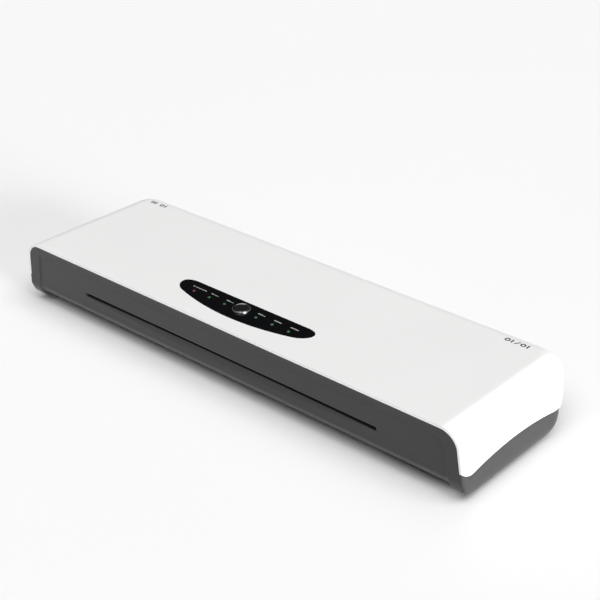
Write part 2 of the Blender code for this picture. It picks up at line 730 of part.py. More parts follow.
def make_rollers():
    for row, y in (("front", FRONT_ROLLERS_Y), ("rear", REAR_ROLLERS_Y)):
        for level, z in (("lower", LOWER_Z), ("upper", UPPER_Z)):
            shaft = [(SHAFT_LEFT, JOURNAL_RADIUS), (-CORE_HALF, JOURNAL_RADIUS),
                     (-CORE_HALF, CORE_RADIUS), (CORE_HALF, CORE_RADIUS),
                     (CORE_HALF, JOURNAL_RADIUS), (SHAFT_RIGHT, JOURNAL_RADIUS)]
            turned("%s_%s_shaft" % (row, level), shaft, (y, z), "X", "steel")
            tube("%s_%s_roller" % (row, level), -ROLLER_HALF, ROLLER_HALF,
                 CORE_RADIUS + 0.25, ROLLER_RADIUS, (y, z), "X", "silicone", 28)


def make_bearings():
    bore = JOURNAL_RADIUS + BEARING_CLEARANCE
    for side, side_name in ((-1, "left"), (1, "right")):
        inner = side * (FRAME_X - BUSH_OVERHANG)
        outer = side * (FRAME_X + FRAME_THICKNESS + BUSH_OVERHANG)
        for row, y in (("front", FRONT_ROLLERS_Y), ("rear", REAR_ROLLERS_Y)):
            tube("%s_bush_%s" % (row, side_name), inner, outer, bore, BUSH_RADIUS,
                 (y, LOWER_Z), "X", "bush_plastic", 20)
            block = rectangle(y - BLOCK_WIDTH / 2, BLOCK_BOTTOM, y + BLOCK_WIDTH / 2, BLOCK_TOP)
            plate("%s_block_%s" % (row, side_name), [block, circle(y, UPPER_Z, bore, 20)], "X",
                  inner, outer - inner, "bush_plastic")
            middle = side * (FRAME_X + FRAME_THICKNESS / 2)
            make_spring("%s_spring_%s" % (row, side_name), middle, y)


def make_spring(name, x, y):
    """Coil spring between the sliding bearing block and the top of its window."""
    wire = 0.5
    radius = 2.5
    turns = 4
    sides = 5
    steps = 40
    bottom = BLOCK_TOP + GAP + wire
    height = WINDOW_TOP - GAP - wire - bottom
    loops = []
    for i in range(steps + 1):
        turn = 2 * pi * turns * i / steps
        across = Vector((cos(turn), sin(turn), 0))
        centre = Vector((x, y, bottom + height * i / steps)) + across * radius
        ring = []
        for k in range(sides):
            t = 2 * pi * k / sides
            ring.append(centre + across * (wire * cos(t)) + Vector((0, 0, wire * sin(t))))
        loops.append(ring)
    loft(name, loops, "steel")


# ---------------------------------------------------------------- frame, heat and drive

def make_side_frames():
    bottom = FLOOR + GAP
    for side, name in ((-1, "side_frame_left"), (1, "side_frame_right")):
        outline = rectangle(FRAME_FRONT, bottom, FRAME_REAR, FRAME_TOP)
        holes = []
        for y in (FRONT_ROLLERS_Y, REAR_ROLLERS_Y):
            holes.append(circle(y, LOWER_Z, BUSH_RADIUS + GAP, 20))
            reach = BLOCK_WIDTH / 2 + GAP
            holes.append(rectangle(y - reach, BLOCK_BOTTOM - GAP, y + reach, WINDOW_TOP))
        start = FRAME_X if side > 0 else -FRAME_X - FRAME_THICKNESS
        frame = plate(name, [outline] + holes, "X", start, FRAME_THICKNESS, "sheet_steel")
        foot_start = FRAME_X + 1 - FRAME_FOOT_WIDTH if side > 0 else -FRAME_X - 1
        foot_outline = rectangle(FRAME_FRONT, bottom, FRAME_REAR, bottom + FRAME_FOOT_THICKNESS)
        join(frame, plate(name + "_foot", [foot_outline], "X", foot_start, FRAME_FOOT_WIDTH, None))
        if side > 0:
            stud = turned("idler_stud", [(FRAME_X + 1, STUD_RADIUS), (SHAFT_RIGHT, STUD_RADIUS)],
                          (IDLER_Y, LOWER_Z), "X", None, segments=16)
            join(frame, stud)


def join(target, addition):
    """Fuse a hidden helper into a target with a Boolean union."""
    addition.hide_render = True
    addition.display_type = "WIRE"
    modifier = target.modifiers.new("join " + addition.name, "BOOLEAN")
    modifier.operation = "UNION"
    modifier.solver = "EXACT"
    modifier.object = addition


def make_heaters():
    half = FRAME_X - GAP
    front = IDLER_Y - 12.5
    rear = IDLER_Y + 12.5
    chamfer = 2.0
    near = 1.3               # from the pouch's path to a plate's face
    flank = 3.1              # and to the outer end of its lead-in
    far = 6.1                # and to its back
    section = [(front, flank), (front + chamfer, near), (rear - chamfer, near), (rear, flank),
               (rear, far), (front, far)]
    upper = [(y, SLOT_HEIGHT + rise) for y, rise in section]
    lower = [(y, SLOT_HEIGHT - rise) for y, rise in section]
    plate("upper_heater_plate", [upper], "X", -half, 2 * half, "aluminium")
    plate("lower_heater_plate", [lower], "X", -half, 2 * half, "aluminium")
    foot = SLOT_HEIGHT + far + GAP
    profile = [(foot, 8.0), (foot + 3.7, 8.0), (foot + 3.7, 6.5), (foot + 6.2, 6.5)]
    turned("thermostat", profile, (-40.0, IDLER_Y), "Z", "sheet_steel", segments=20)


def make_drive():
    """Geared motor on an angle bracket, with its output shaft above its middle."""
    bottom = FLOOR + GAP
    top = PINION_Z + 10.0
    back = BRACKET_X + BRACKET_THICKNESS
    profile = [(BRACKET_X, bottom), (BRACKET_END, bottom),
               (BRACKET_END, bottom + BRACKET_THICKNESS), (back, bottom + BRACKET_THICKNESS),
               (back, top), (BRACKET_X, top)]
    bracket = plate("motor_bracket", [profile], "Y", BRACKET_FRONT, BRACKET_REAR - BRACKET_FRONT,
                    "sheet_steel")
    output = (IDLER_Y, PINION_Z)
    hole_radius = MOTOR_SHAFT_RADIUS + 1.5
    hole = [(BRACKET_X - 5, hole_radius), (BRACKET_X + 5, hole_radius)]
    cut(bracket, turned("bracket_hole", hole, output, "X", None, segments=16))
    face = back + GAP
    rim = MOTOR_RADIUS - 1.0
    can = [(face, rim), (face + 1.0, MOTOR_RADIUS), (face + MOTOR_LENGTH - 1.0, MOTOR_RADIUS),
           (face + MOTOR_LENGTH, rim)]
    motor = turned("gear_motor", can, (IDLER_Y, PINION_Z - MOTOR_DROP), "X", "sheet_steel",
                   segments=32)
    bore_radius = MOTOR_SHAFT_RADIUS + 0.5
    bore = [(face - 5, bore_radius), (face + 8, bore_radius)]
    cut(motor, turned("motor_bore", bore, output, "X", None, segments=16))
    shaft = [(GEAR_START - 1, MOTOR_SHAFT_RADIUS), (face + 7, MOTOR_SHAFT_RADIUS)]
    turned("motor_shaft", shaft, output, "X", "steel", segments=16)


def make_guides():
    """Shelves that carry the pouch in to the front rollers and out from the rear ones."""
    top = SHELF_TOP
    under = top - SHELF_THICKNESS
    bottom = FLOOR + GAP
    entry_leg = -44.5
    entry_end = -27.0
    exit_start = 41.0
    exit_leg = 55.0
    exit_end = REAR_PANEL_FRONT - GAP
    entry = [(-70.5, top - 3.0), (-69.5, top - 3.0), (-67.0, under), (entry_leg, under),
             (entry_leg, bottom), (entry_leg + SHELF_THICKNESS, bottom),
             (entry_leg + SHELF_THICKNESS, under), (entry_end, under), (entry_end, top),
             (-67.5, top)]
    way_out = [(exit_start, under), (exit_leg, under), (exit_leg, bottom),
               (exit_leg + SHELF_THICKNESS, bottom), (exit_leg + SHELF_THICKNESS, under),
               (exit_end, under), (exit_end, top), (exit_start, top)]
    for name, outline in (("entry_guide", entry), ("exit_guide", way_out)):
        plate(name, [outline], "X", -SHELF_HALF, 2 * SHELF_HALF, "black_plastic")


# ---------------------------------------------------------------- rear switches

def switch_plate(name, outline, start, thickness, material=None):
    return plate(name, [outline], "Y", start, thickness, material)


def around_switch(x, half_width, half_height):
    return rectangle(x - half_width, SWITCH_Z - half_height, x + half_width,
                     SWITCH_Z + half_height)


def make_rocker_switch(name, x, half_width):
    """Snap-in housing with a rocker that tilts about a pin line along X, resting tilted to off."""
    face = REAR_PANEL_FRONT + REAR_PANEL_THICKNESS + GAP
    bezel = around_switch(x, half_width + 1.0, SWITCH_HALF_HEIGHT + 1.3)
    body = switch_plate(name + "_switch_body", bezel, face, 0.9, "black_plastic")
    housing = around_switch(x, half_width - GAP, SWITCH_HALF_HEIGHT)
    join(body, switch_plate(name + "_case", housing, face - SWITCH_DEPTH, SWITCH_DEPTH + 0.5))
    well_half = half_width - 1.6
    well = around_switch(x, well_half, 5.2)
    cut(body, switch_plate(name + "_well", well, face - 6.0, 12.0))
    axis_y = face - 0.6
    half_length = 4.6
    outline = []
    for i in range(-4, 5):
        outline.append((1.5 + 0.4 * (i / 4) ** 2, half_length * i / 4))
    outline += [(-1.6, 3.4), (-3.2, 0.0), (-1.6, -3.4)]
    tilt = radians(-ROCKER_SWING)
    rocker = [(axis_y + u * cos(tilt) - v * sin(tilt), SWITCH_Z + u * sin(tilt) + v * cos(tilt))
              for u, v in outline]
    half_rocker = well_half - GAP
    plate(name + "_rocker", [rocker], "X", x - half_rocker, 2 * half_rocker,
          "black_plastic", origin=(x, axis_y, SWITCH_Z))


def around_inlet(half_width, half_height, corner):
    return rounded_rectangle(INLET_CENTRE - half_width, SWITCH_Z - half_height,
                             INLET_CENTRE + half_width, SWITCH_Z + half_height, corner)


def make_power_inlet():
    """Two-pin figure-of-eight mains socket, snapped into the rear panel."""
    face = REAR_PANEL_FRONT + REAR_PANEL_THICKNESS + GAP
    inlet = switch_plate("power_inlet", around_inlet(10.6, 7.4, 3), face, 1.0, "black_plastic")
    housing = around_inlet(INLET_HALF, 6.2, 3)
    join(inlet, switch_plate("inlet_case", housing, face - SWITCH_DEPTH, SWITCH_DEPTH + 0.5))
    socket = around_inlet(7.6, 4.2, 4.1)
    pins = [circle(INLET_CENTRE + offset, SWITCH_Z, 1.2, 8) for offset in (-4.2, 4.2)]
    cut(inlet, plate("socket_cut", [socket] + pins, "Y", face - 12.0, 20.0, None))


# ---------------------------------------------------------------- assembly

def main():
    clear_scene()
    make_top_cover()
    make_base_tray()
    make_front_fascia()
    make_rear_panel()
    make_feet()
    make_control_panel()
    make_mode_button()
    make_control_board()
    make_side_frames()
    make_rollers()
    make_gears()
    make_bearings()
    make_heaters()
    make_drive()
    make_guides()
    make_rocker_switch("power", POWER_SWITCH_X, POWER_SWITCH_HALF)
    make_rocker_switch("heat", HEAT_SWITCH_X, HEAT_SWITCH_HALF)
    make_power_inlet()


main()
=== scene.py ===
"""Looks of the pouch laminator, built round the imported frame.

Lengths in this script are millimetres, turned into metres when a mesh is made.
The frame's own sizes come from its nodes' boxes; the case's shape repeats the CAD's formulas.
+X is to the right, +Y to the rear, +Z up, and the origin is under the middle of the case.
"""
import json
from math import cos, pi, radians, sin, sqrt

import bmesh
import bpy
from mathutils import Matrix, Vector


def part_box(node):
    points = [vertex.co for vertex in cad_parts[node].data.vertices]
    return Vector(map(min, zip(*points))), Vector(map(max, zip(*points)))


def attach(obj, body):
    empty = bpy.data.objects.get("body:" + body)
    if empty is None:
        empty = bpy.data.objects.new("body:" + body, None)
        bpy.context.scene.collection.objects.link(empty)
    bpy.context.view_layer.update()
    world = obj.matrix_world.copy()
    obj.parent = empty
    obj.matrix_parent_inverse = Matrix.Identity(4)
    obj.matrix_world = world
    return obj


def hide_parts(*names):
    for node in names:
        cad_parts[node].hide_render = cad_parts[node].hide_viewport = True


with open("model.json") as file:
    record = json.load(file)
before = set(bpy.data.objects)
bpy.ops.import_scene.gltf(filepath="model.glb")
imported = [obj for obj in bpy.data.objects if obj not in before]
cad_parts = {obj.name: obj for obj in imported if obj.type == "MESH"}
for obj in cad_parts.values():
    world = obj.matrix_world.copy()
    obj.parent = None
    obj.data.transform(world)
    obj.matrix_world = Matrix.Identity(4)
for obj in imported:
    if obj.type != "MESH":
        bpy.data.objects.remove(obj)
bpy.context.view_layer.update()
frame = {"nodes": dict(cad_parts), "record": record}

MM = 0.001


def node_box(name):
    """Lowest and highest corners of a CAD node, in millimetres."""
    low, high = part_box(name)
    return low / MM, high / MM


# ---------------------------------------------------------------- sizes

TOP = node_box("top_cover")[1].z
REAR = node_box("top_cover")[1].y
BASE_BOTTOM = node_box("base_tray")[0].z
BASE_REAR = node_box("base_tray")[1].y
SKIRT_LOW = node_box("rear_panel")[0].z
REAR_PANEL_FRONT = node_box("rear_panel")[0].y
REAR_PANEL_BACK = node_box("rear_panel")[1].y
REAR_PANEL_TOP = node_box("rear_panel")[1].z
SLOT_Z = (node_box("front_lower_roller")[0].z + node_box("front_upper_roller")[1].z) / 2
SWITCH_Z = (node_box("power_switch_body")[0].z + node_box("power_switch_body")[1].z) / 2
BUTTON_TOP = node_box("mode_button")[1].z
RING_TOP = node_box("button_ring")[1].z
BUTTON_Y = (node_box("button_ring")[0].y + node_box("button_ring")[1].y) / 2
LIGHT_Y = (node_box("power_light")[0].y + node_box("power_light")[1].y) / 2
PANEL_X = (node_box("button_ring")[0].x + node_box("button_ring")[1].x) / 2
RING_OUTER = node_box("button_ring")[1].x - PANEL_X
BUTTON_RADIUS = node_box("mode_button")[1].x - PANEL_X

GAP = 0.3                    # clearance between neighbouring pieces
SEAM = 0.5                   # between the cover's lower edge and the base
CUT_PAST = 10.0              # how far a cutter runs past what it cuts

# the case's outline: it flares towards the bottom, and its front and rear lean
WALL = 2.2
RIM = TOP - WALL             # where HALF_WIDTH and FRONT are measured
HALF_WIDTH = 239.9
FRONT = -76.75
FLARE = 0.1313               # each end moves out by this for each millimetre below the rim
LEAN = 0.0677                # and the front moves back by this
EDGE_ROUND = 15.0            # top edges
CORNER_ROUND = 18.0          # upright rear corners
TUCK_START = 46.0            # below this the cover's rear curves in
REAR_TUCK = 4.6

# the cover's lower edge: an arch along each end, turned up at the front corner
ARCH_TOP = SKIRT_LOW + 4.6
ARCH_DROP = 4.8              # how much lower the arch is at ARCH_REACH from its middle
ARCH_REACH = 56.0
ARCH_MIDDLE = -6.0
TURN_START = -60.0
TURN_REACH = 16.0
TURN_RISE = 10.0

# the base, with a runner at each end
BASE_CORNER = 22.0
BASE_EDGE_ROUND = 2.2        # upright edges beside the fascia
SIDE_ROUND = 12.0            # lower edges
REAR_ROUND = 22.0
FRONT_ROUND = 22.0
BASE_FRONT_WALL = -51.8      # the wall behind the fascia
MIDDLE_BOTTOM = BASE_BOTTOM + 4.0
FLOOR = MIDDLE_BOTTOM + 2.0  # inside of the tray's bottom
INNER_FOOT = 14.0            # height where the inner walls start to slant in to the floor
FLOOR_INSET = 3.0            # how far in they have come when they meet it
RUNNER_START = 229.5
RUNNER_CHAMFER = 2.5
LIP = 10.0                   # height of the lip inside the cover's skirt
LIP_END = 1.5                # and at its two ends
LIP_FRONT = -47.0            # where it starts to rise behind the fascia
LIP_FRONT_RAMP = 15.0
LIP_REAR = 62.0              # where it ends at the rear
LIP_REAR_RAMP = 12.0

# the fascia, set back a little from the cover's front
SETBACK = 0.3
FASCIA_THICKNESS = 3.5
FASCIA_SIDE_GAP = 0.15       # on top of the usual clearance, at its two ends
FASCIA_CORNER = 12.3
RECESS_BORDER = 8.5          # flat border above the shallow recess
SIDE_BORDER = 12.5           # and beside it
RECESS_CORNER = 6.0
RECESS_DEPTH = 1.0
RUNNER_COLUMNS = (0.947, 0.958)  # where the lower edge steps down, in half widths

# the slots: the drawn entry slot is bolder and lower than the opening in the solids
SLOT_LENGTH = 330.0
ENTRY_SLOT_BELOW = 2.2
ENTRY_SLOT_ABOVE = 1.2
EXIT_SLOT_OPENING = 4.0
REAR_OPENING_HALF = 224.0
REAR_OPENING_TOP = REAR_PANEL_TOP + GAP

# the control panel
PANEL_REAR = -31.3
PANEL_FRONT = -60.45
PANEL_BULGE = 9.6            # the front edge's curve, up to where the round ends start
PANEL_STRAIGHT = 62.0
PANEL_TOP = TOP - 0.05
PANEL_THICKNESS = 2.0
BUTTON_CROWN = 0.35
BUTTON_EDGE = 1.0
RING_INNER = RING_OUTER - 1.0
LIGHT_RADIUS = 1.5
LIGHT_STEM = 2.2
LIGHT_NAMES = ["power_light"] + ["preset_light_%d" % i for i in range(1, 6)]

# the rear: housings overlap their holes, and the rockers rest tilted
BEZEL_OVERLAP = 0.7
SWITCH_HOLE_HALF = 6.6
ROCKER_TILT = -10.0
WELL_BORDER = 1.6

# the underside
SCREWS = ((-190, -36), (190, -36), (-190, 36), (190, 36), (0, -36), (0, 36))
SCREW_WELL_RADIUS = 3.6
SCREW_WELL_DEPTH = 1.4
GROOVE_DEPTH = 1.0

SMOOTH_ANGLE = 35.0
FULL_TURN = 359.9            # a closed band keeps a hairline between its two ends


# ---------------------------------------------------------------- mesh helpers

def finish_mesh(bm, name, material):
    """Turn a bmesh in millimetres into a linked object."""
    bmesh.ops.recalc_face_normals(bm, faces=bm.faces)
    for vert in bm.verts:
        vert.co *= MM
    mesh = bpy.data.meshes.new(name)
    bm.to_mesh(mesh)
    bm.free()
    mesh.shade_smooth()
    mesh.set_sharp_from_angle(angle=radians(SMOOTH_ANGLE))
    made = bpy.data.objects.new(name, mesh)
    if material:
        made.data.materials.append(material)
    bpy.context.scene.collection.objects.link(made)
    return made


def grid_faces(bm, rows, around=False):
    """Quads between neighbouring rows of vertices; around also joins each row's ends."""
    for upper, lower in zip(rows, rows[1:]):
        count = len(upper)
        for i in range(count if around else count - 1):
            j = (i + 1) % count
            bm.faces.new((upper[i], lower[i], lower[j], upper[j]))


def loft(name, loops, material, ring=False):
    """Skin over closed loops; a ring joins the last loop to the first instead of capping."""
    bm = bmesh.new()
    rows = [[bm.verts.new(point) for point in loop] for loop in loops]
    if ring:
        grid_faces(bm, rows + [rows[0]], around=True)
    else:
        grid_faces(bm, rows, around=True)
        bm.faces.new(rows[0])
        bm.faces.new(rows[-1])
    return finish_mesh(bm, name, material)


def place(u, v, w, axis):
    """Point with w along the axis and u, v along the other two, in order."""
    if axis == "X":
        return (w, u, v)
    if axis == "Y":
        return (u, w, v)
    return (u, v, w)


def plate(name, outlines, axis, start, thickness, material):
    """Extrude an outline, and the holes that follow it in the list, along one axis."""
    bm = bmesh.new()
    edges = []
    for outline in outlines:
        verts = [bm.verts.new(place(u, v, start, axis)) for u, v in outline]
        for i, vert in enumerate(verts):
            edges.append(bm.edges.new((vert, verts[(i + 1) % len(verts)])))
    bmesh.ops.triangle_fill(bm, use_beauty=True, use_dissolve=False, edges=edges)
    grown = bmesh.ops.extrude_face_region(bm, geom=list(bm.faces))
    moved = [item for item in grown["geom"] if isinstance(item, bmesh.types.BMVert)]
    bmesh.ops.translate(bm, vec=Vector(place(0, 0, thickness, axis)), verts=moved)
    return finish_mesh(bm, name, material)


def circle(u, v, radius, segments=48):
    turns = [2 * pi * i / segments for i in range(segments)]
    return [(u + radius * cos(t), v + radius * sin(t)) for t in turns]


def rectangle(u0, v0, u1, v1):
    return [(u0, v0), (u1, v0), (u1, v1), (u0, v1)]


def rounded_rectangle(u0, v0, u1, v1, radius, steps=6):
    points = []
    for u, v, first in ((u1, v0, -90), (u1, v1, 0), (u0, v1, 90), (u0, v0, 180)):
        centre_u = u - radius if u == u1 else u + radius
        centre_v = v - radius if v == v1 else v + radius
        for i in range(steps + 1):
            t = radians(first + 90 * i / steps)
            points.append((centre_u + radius * cos(t), centre_v + radius * sin(t)))
    return points


def turned(name, profile, centre, axis, material, ring=False, segments=64):
    """Revolve (distance along the axis, radius) points round an X, Y or Z axis."""
    loops = []
    for along, radius in profile:
        loops.append([place(u, v, along, axis)
                      for u, v in circle(centre[0], centre[1], radius, segments)])
    return loft(name, loops, material, ring)


def carve(target, cutters, operation="DIFFERENCE"):
    """Apply Booleans to a piece and delete the cutters."""
    for cutter in cutters:
        modifier = target.modifiers.new(cutter.name, "BOOLEAN")
        modifier.operation = operation
        modifier.solver = "EXACT"
        modifier.object = cutter
    settle(target)
    for cutter in cutters:
        bpy.data.objects.remove(cutter, do_unlink=True)


def settle(piece):
    """Replace a piece's mesh with the one that its modifiers give."""
    graph = bpy.context.evaluated_depsgraph_get()
    mesh = bpy.data.meshes.new_from_object(piece.evaluated_get(graph))
    piece.modifiers.clear()
    piece.data = mesh


def soften(piece, width, segments=3, angle=42.0):
    """Round a piece's sharp edges, and keep its large faces flat in the shading."""
    bevel = piece.modifiers.new("soften", "BEVEL")
    bevel.width = width * MM
    bevel.segments = segments
    bevel.limit_method = "ANGLE"
    bevel.angle_limit = radians(angle)
    bevel.use_clamp_overlap = True
    settle(piece)
    piece.data.shade_smooth()
    piece.data.set_sharp_from_angle(angle=radians(SMOOTH_ANGLE))
    weighted = piece.modifiers.new("flat faces", "WEIGHTED_NORMAL")
    weighted.keep_sharp = True
    settle(piece)


def show(piece, body="case", replaces=()):
    """Attach a finished piece to its body."""
    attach(piece, body)
    if replaces:
        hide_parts(*replaces)


# ---------------------------------------------------------------- materials

def new_material(name, colour, roughness, metallic=0.0):
    made = bpy.data.materials.new(name)
    made.use_nodes = True
    shader = made.node_tree.nodes["Principled BSDF"]
    shader.inputs["Base Color"].default_value = (*colour, 1.0)
    shader.inputs["Roughness"].default_value = roughness
    shader.inputs["Metallic"].default_value = metallic
    return made, made.node_tree, shader


def object_point(tree, scale=(1, 1, 1)):
    """Object coordinates in metres, stretched by a scale."""
    source = tree.nodes.new("ShaderNodeTexCoord")
    mapping = tree.nodes.new("ShaderNodeMapping")
    mapping.inputs["Scale"].default_value = scale
    tree.links.new(source.outputs["Object"], mapping.inputs["Vector"])
    return mapping.outputs["Vector"]


def noise(tree, point, scale, detail=3.0, roughness=0.5):
    texture = tree.nodes.new("ShaderNodeTexNoise")
    texture.inputs["Scale"].default_value = scale
    texture.inputs["Detail"].default_value = detail
    texture.inputs["Roughness"].default_value = roughness
    tree.links.new(point, texture.inputs["Vector"])
    return texture.outputs["Fac"]


def remap(tree, value, low, high, from_low=0.3, from_high=0.7):
    """Spread a noise value over low to high."""
    ranged = tree.nodes.new("ShaderNodeMapRange")
    ranged.inputs["From Min"].default_value = from_low
    ranged.inputs["From Max"].default_value = from_high
    ranged.inputs["To Min"].default_value = low
    ranged.inputs["To Max"].default_value = high
    tree.links.new(value, ranged.inputs["Value"])
    return ranged.outputs["Result"]


def mix_colours(tree, factor, first, second):
    mixer = tree.nodes.new("ShaderNodeMix")
    mixer.data_type = "RGBA"
    tree.links.new(factor, mixer.inputs["Factor"])
    mixer.inputs["A"].default_value = (*first, 1.0)
    mixer.inputs["B"].default_value = (*second, 1.0)
    return mixer.outputs["Result"]


def bump(tree, shader, height, strength, distance):
    node = tree.nodes.new("ShaderNodeBump")
    node.inputs["Strength"].default_value = strength
    node.inputs["Distance"].default_value = distance
    tree.links.new(height, node.inputs["Height"])
    tree.links.new(node.outputs["Normal"], shader.inputs["Normal"])


def moulded_plastic(name, colour, shade, roughness, spread, grain, depth, shine):
    """Moulded plastic: slow colour drift, a fine spark-eroded grain and uneven gloss."""
    made, tree, shader = new_material(name, colour, roughness)
    shader.inputs["Specular IOR Level"].default_value = shine
    point = object_point(tree)
    drift = remap(tree, noise(tree, point, 14.0, 2.0), 0.0, 1.0)
    tree.links.new(mix_colours(tree, drift, colour, shade), shader.inputs["Base Color"])
    fine = noise(tree, point, grain, 4.0, 0.6)
    gloss = remap(tree, noise(tree, point, grain * 0.15, 2.0), roughness - spread,
                  roughness + spread)
    tree.links.new(gloss, shader.inputs["Roughness"])
    bump(tree, shader, fine, 0.35, depth)
    return made


def metal(name, colour, roughness, stretch, depth):
    """Metal with fine lines along one direction."""
    made, tree, shader = new_material(name, colour, roughness, 1.0)
    point = object_point(tree, stretch)
    lines = noise(tree, point, 600.0, 3.0)
    tree.links.new(remap(tree, lines, roughness - 0.08, roughness + 0.1),
                   shader.inputs["Roughness"])
    dull = tuple(0.82 * c for c in colour)
    tree.links.new(mix_colours(tree, remap(tree, lines, 0.0, 1.0), colour, dull),
                   shader.inputs["Base Color"])
    bump(tree, shader, lines, 0.3, depth)
    return made


def lens_material(name, colour, glow):
    """Diffusing light lens, faintly lit from below."""
    made, tree, shader = new_material(name, colour, 0.22)
    point = object_point(tree)
    cloud = remap(tree, noise(tree, point, 900.0, 2.0), 0.0, 1.0)
    pale = tuple(min(1.0, c * 1.35 + 0.02) for c in colour)
    tree.links.new(mix_colours(tree, cloud, colour, pale), shader.inputs["Base Color"])
    shader.inputs["Emission Color"].default_value = (*colour, 1.0)
    shader.inputs["Emission Strength"].default_value = glow
    shader.inputs["Coat Weight"].default_value = 0.4
    return made


# name: colour, shade, roughness and its spread, grain, depth of the grain in metres, shine
PLASTICS = {
    "white_plastic": ((0.83, 0.83, 0.825), (0.815, 0.815, 0.81), 0.36, 0.03, 2600.0, 2e-5, 0.5),
    "grey_plastic": ((0.036, 0.036, 0.037), (0.033, 0.033, 0.034), 0.34, 0.03, 2200.0, 3e-5, 0.3),
    # the base's plastic is the fascia's grey painted lighter: painted light standing in for the
    # side light on the base's ends
    "base_plastic_painted_light": ((0.055, 0.055, 0.056), (0.051, 0.051, 0.052), 0.4, 0.03, 2000.0, 3e-5, 0.3),
    "black_gloss": ((0.0012, 0.0013, 0.0022), (0.001, 0.0011, 0.0018), 0.13, 0.02, 900.0, 4e-6,
                    0.35),
    "black_plastic": ((0.02, 0.02, 0.022), (0.017, 0.017, 0.018), 0.4, 0.05, 2400.0, 3e-5, 0.5),
    "cap_plastic": ((0.007, 0.007, 0.008), (0.005, 0.005, 0.006), 0.42, 0.06, 900.0, 2e-5, 0.25),
    "gear_plastic": ((0.8, 0.78, 0.7), (0.76, 0.73, 0.65), 0.42, 0.04, 1500.0, 2e-5, 0.5),
    "bush_plastic": ((0.75, 0.72, 0.6), (0.7, 0.67, 0.56), 0.5, 0.04, 1500.0, 2e-5, 0.5),
    "silicone": ((0.62, 0.22, 0.12), (0.56, 0.19, 0.1), 0.6, 0.05, 1200.0, 3e-5, 0.5),
    "circuit_board": ((0.05, 0.22, 0.09), (0.045, 0.19, 0.08), 0.4, 0.06, 500.0, 1e-5, 0.5),
    "foot_rubber": ((0.03, 0.03, 0.03), (0.022, 0.022, 0.022), 0.8, 0.06, 1800.0, 6e-5, 0.5),
    "legend_ink": ((0.44, 0.44, 0.44), (0.4, 0.4, 0.4), 0.5, 0.03, 1500.0, 5e-6, 0.5),
    "mark_ink": ((0.03, 0.03, 0.03), (0.025, 0.025, 0.025), 0.5, 0.03, 1500.0, 5e-6, 0.2),
}

# name: colour, roughness, stretch of the lines along X, Y, Z, their depth in metres
METALS = {
    "bright_ring": ((0.34, 0.34, 0.35), 0.28, (1, 1, 1), 2e-6),
    "steel": ((0.55, 0.55, 0.56), 0.32, (0.05, 1, 1), 1e-5),
    "sheet_steel": ((0.6, 0.61, 0.62), 0.42, (1, 0.06, 1), 1e-5),
    "aluminium": ((0.7, 0.7, 0.71), 0.4, (0.05, 1, 1), 1e-5),
}


def make_materials():
    made = {name: moulded_plastic(name, *values) for name, values in PLASTICS.items()}
    made.update({name: metal(name, *values) for name, values in METALS.items()})
    made["red_lens"] = lens_material("red_lens", (0.11, 0.015, 0.012), 0.1)
    made["green_lens"] = lens_material("green_lens", (0.02, 0.09, 0.032), 0.12)
    return made


# ---------------------------------------------------------------- shape of the case

def round_inset(drop, radius):
    """How far a quarter round has moved in when it is `drop` past its start."""
    drop = min(max(drop, 0.0), radius)
    return radius - sqrt(radius * radius - drop * drop)


def case_half(z):
    """Half width of the flared case, before any rounding."""
    return HALF_WIDTH + FLARE * (RIM - z)


def front_y(z):
    """Front of the case at one height."""
    return FRONT + LEAN * (RIM - z)


def rear_y(z):
    """Rear of the cover at one height: it curves in towards the base."""
    return REAR - REAR_TUCK * (max(0.0, TUCK_START - z) / (TUCK_START - SKIRT_LOW)) ** 2


def skirt_z(y):
    """Height of the cover's lower edge: an arch along the end, turned up at the front corner."""
    arch = ARCH_TOP - ARCH_DROP * ((y - ARCH_MIDDLE) / ARCH_REACH) ** 2
    if y < TURN_START + 2.0:
        return arch + TURN_RISE * (max(0.0, TURN_START - y) / TURN_REACH) ** 2
    return max(arch, SKIRT_LOW)


def end_and_corner(half, first_y, rear, corner, stations=56, corner_steps=14):
    """Right-hand end from the front to the rear, then the rear corner, as (x, y) points."""
    length = rear - corner - first_y
    points = [(half, first_y + length * i / stations) for i in range(stations + 1)]
    for i in range(1, corner_steps + 1):
        t = radians(90 * i / corner_steps)
        points.append((half - corner + corner * cos(t), rear - corner + corner * sin(t)))
    return points


def mirrored(points):
    """Right-hand points, then their mirror image in reverse: a loop, open across the front."""
    return points + [(-x, y) for x, y in reversed(points)]


def cubic(a, b, c, d, steps):
    """Points along a Bezier curve."""
    points = []
    for i in range(steps + 1):
        t = i / steps
        s = 1 - t
        weights = (s * s * s, 3 * s * s * t, 3 * s * t * t, t * t * t)
        points.append(tuple(sum(w * p[k] for w, p in zip(weights, (a, b, c, d)))
                            for k in range(2)))
    return points


def panel_outline(grow=0.0):
    """Straight rear edge, curved front edge and full round ends; grow moves it outwards."""
    right = []
    for i in range(16):
        x = PANEL_STRAIGHT * i / 16
        right.append((x, PANEL_FRONT + PANEL_BULGE * (x / PANEL_STRAIGHT) ** 2))
    shoulder = (PANEL_STRAIGHT, PANEL_FRONT + PANEL_BULGE)
    right += cubic(shoulder, (75.5, shoulder[1] + 4.2), (80.5, PANEL_REAR),
                   (PANEL_STRAIGHT, PANEL_REAR), 28)
    left = [(-x, y) for x, y in reversed(right[1:])]
    outline = [(PANEL_X + x, y) for x, y in right + left]
    if not grow:
        return outline
    grown = []
    for i, (x, y) in enumerate(outline):
        before = Vector(outline[i - 1])
        after = Vector(outline[(i + 1) % len(outline)])
        along = (after - before).normalized()
        grown.append((x + grow * along.y, y - grow * along.x))
    return grown


# ---------------------------------------------------------------- cover

def cover_wall(z):
    """Plan of the cover's upright walls at one height."""
    return mirrored(end_and_corner(case_half(z), front_y(z), rear_y(z), CORNER_ROUND))


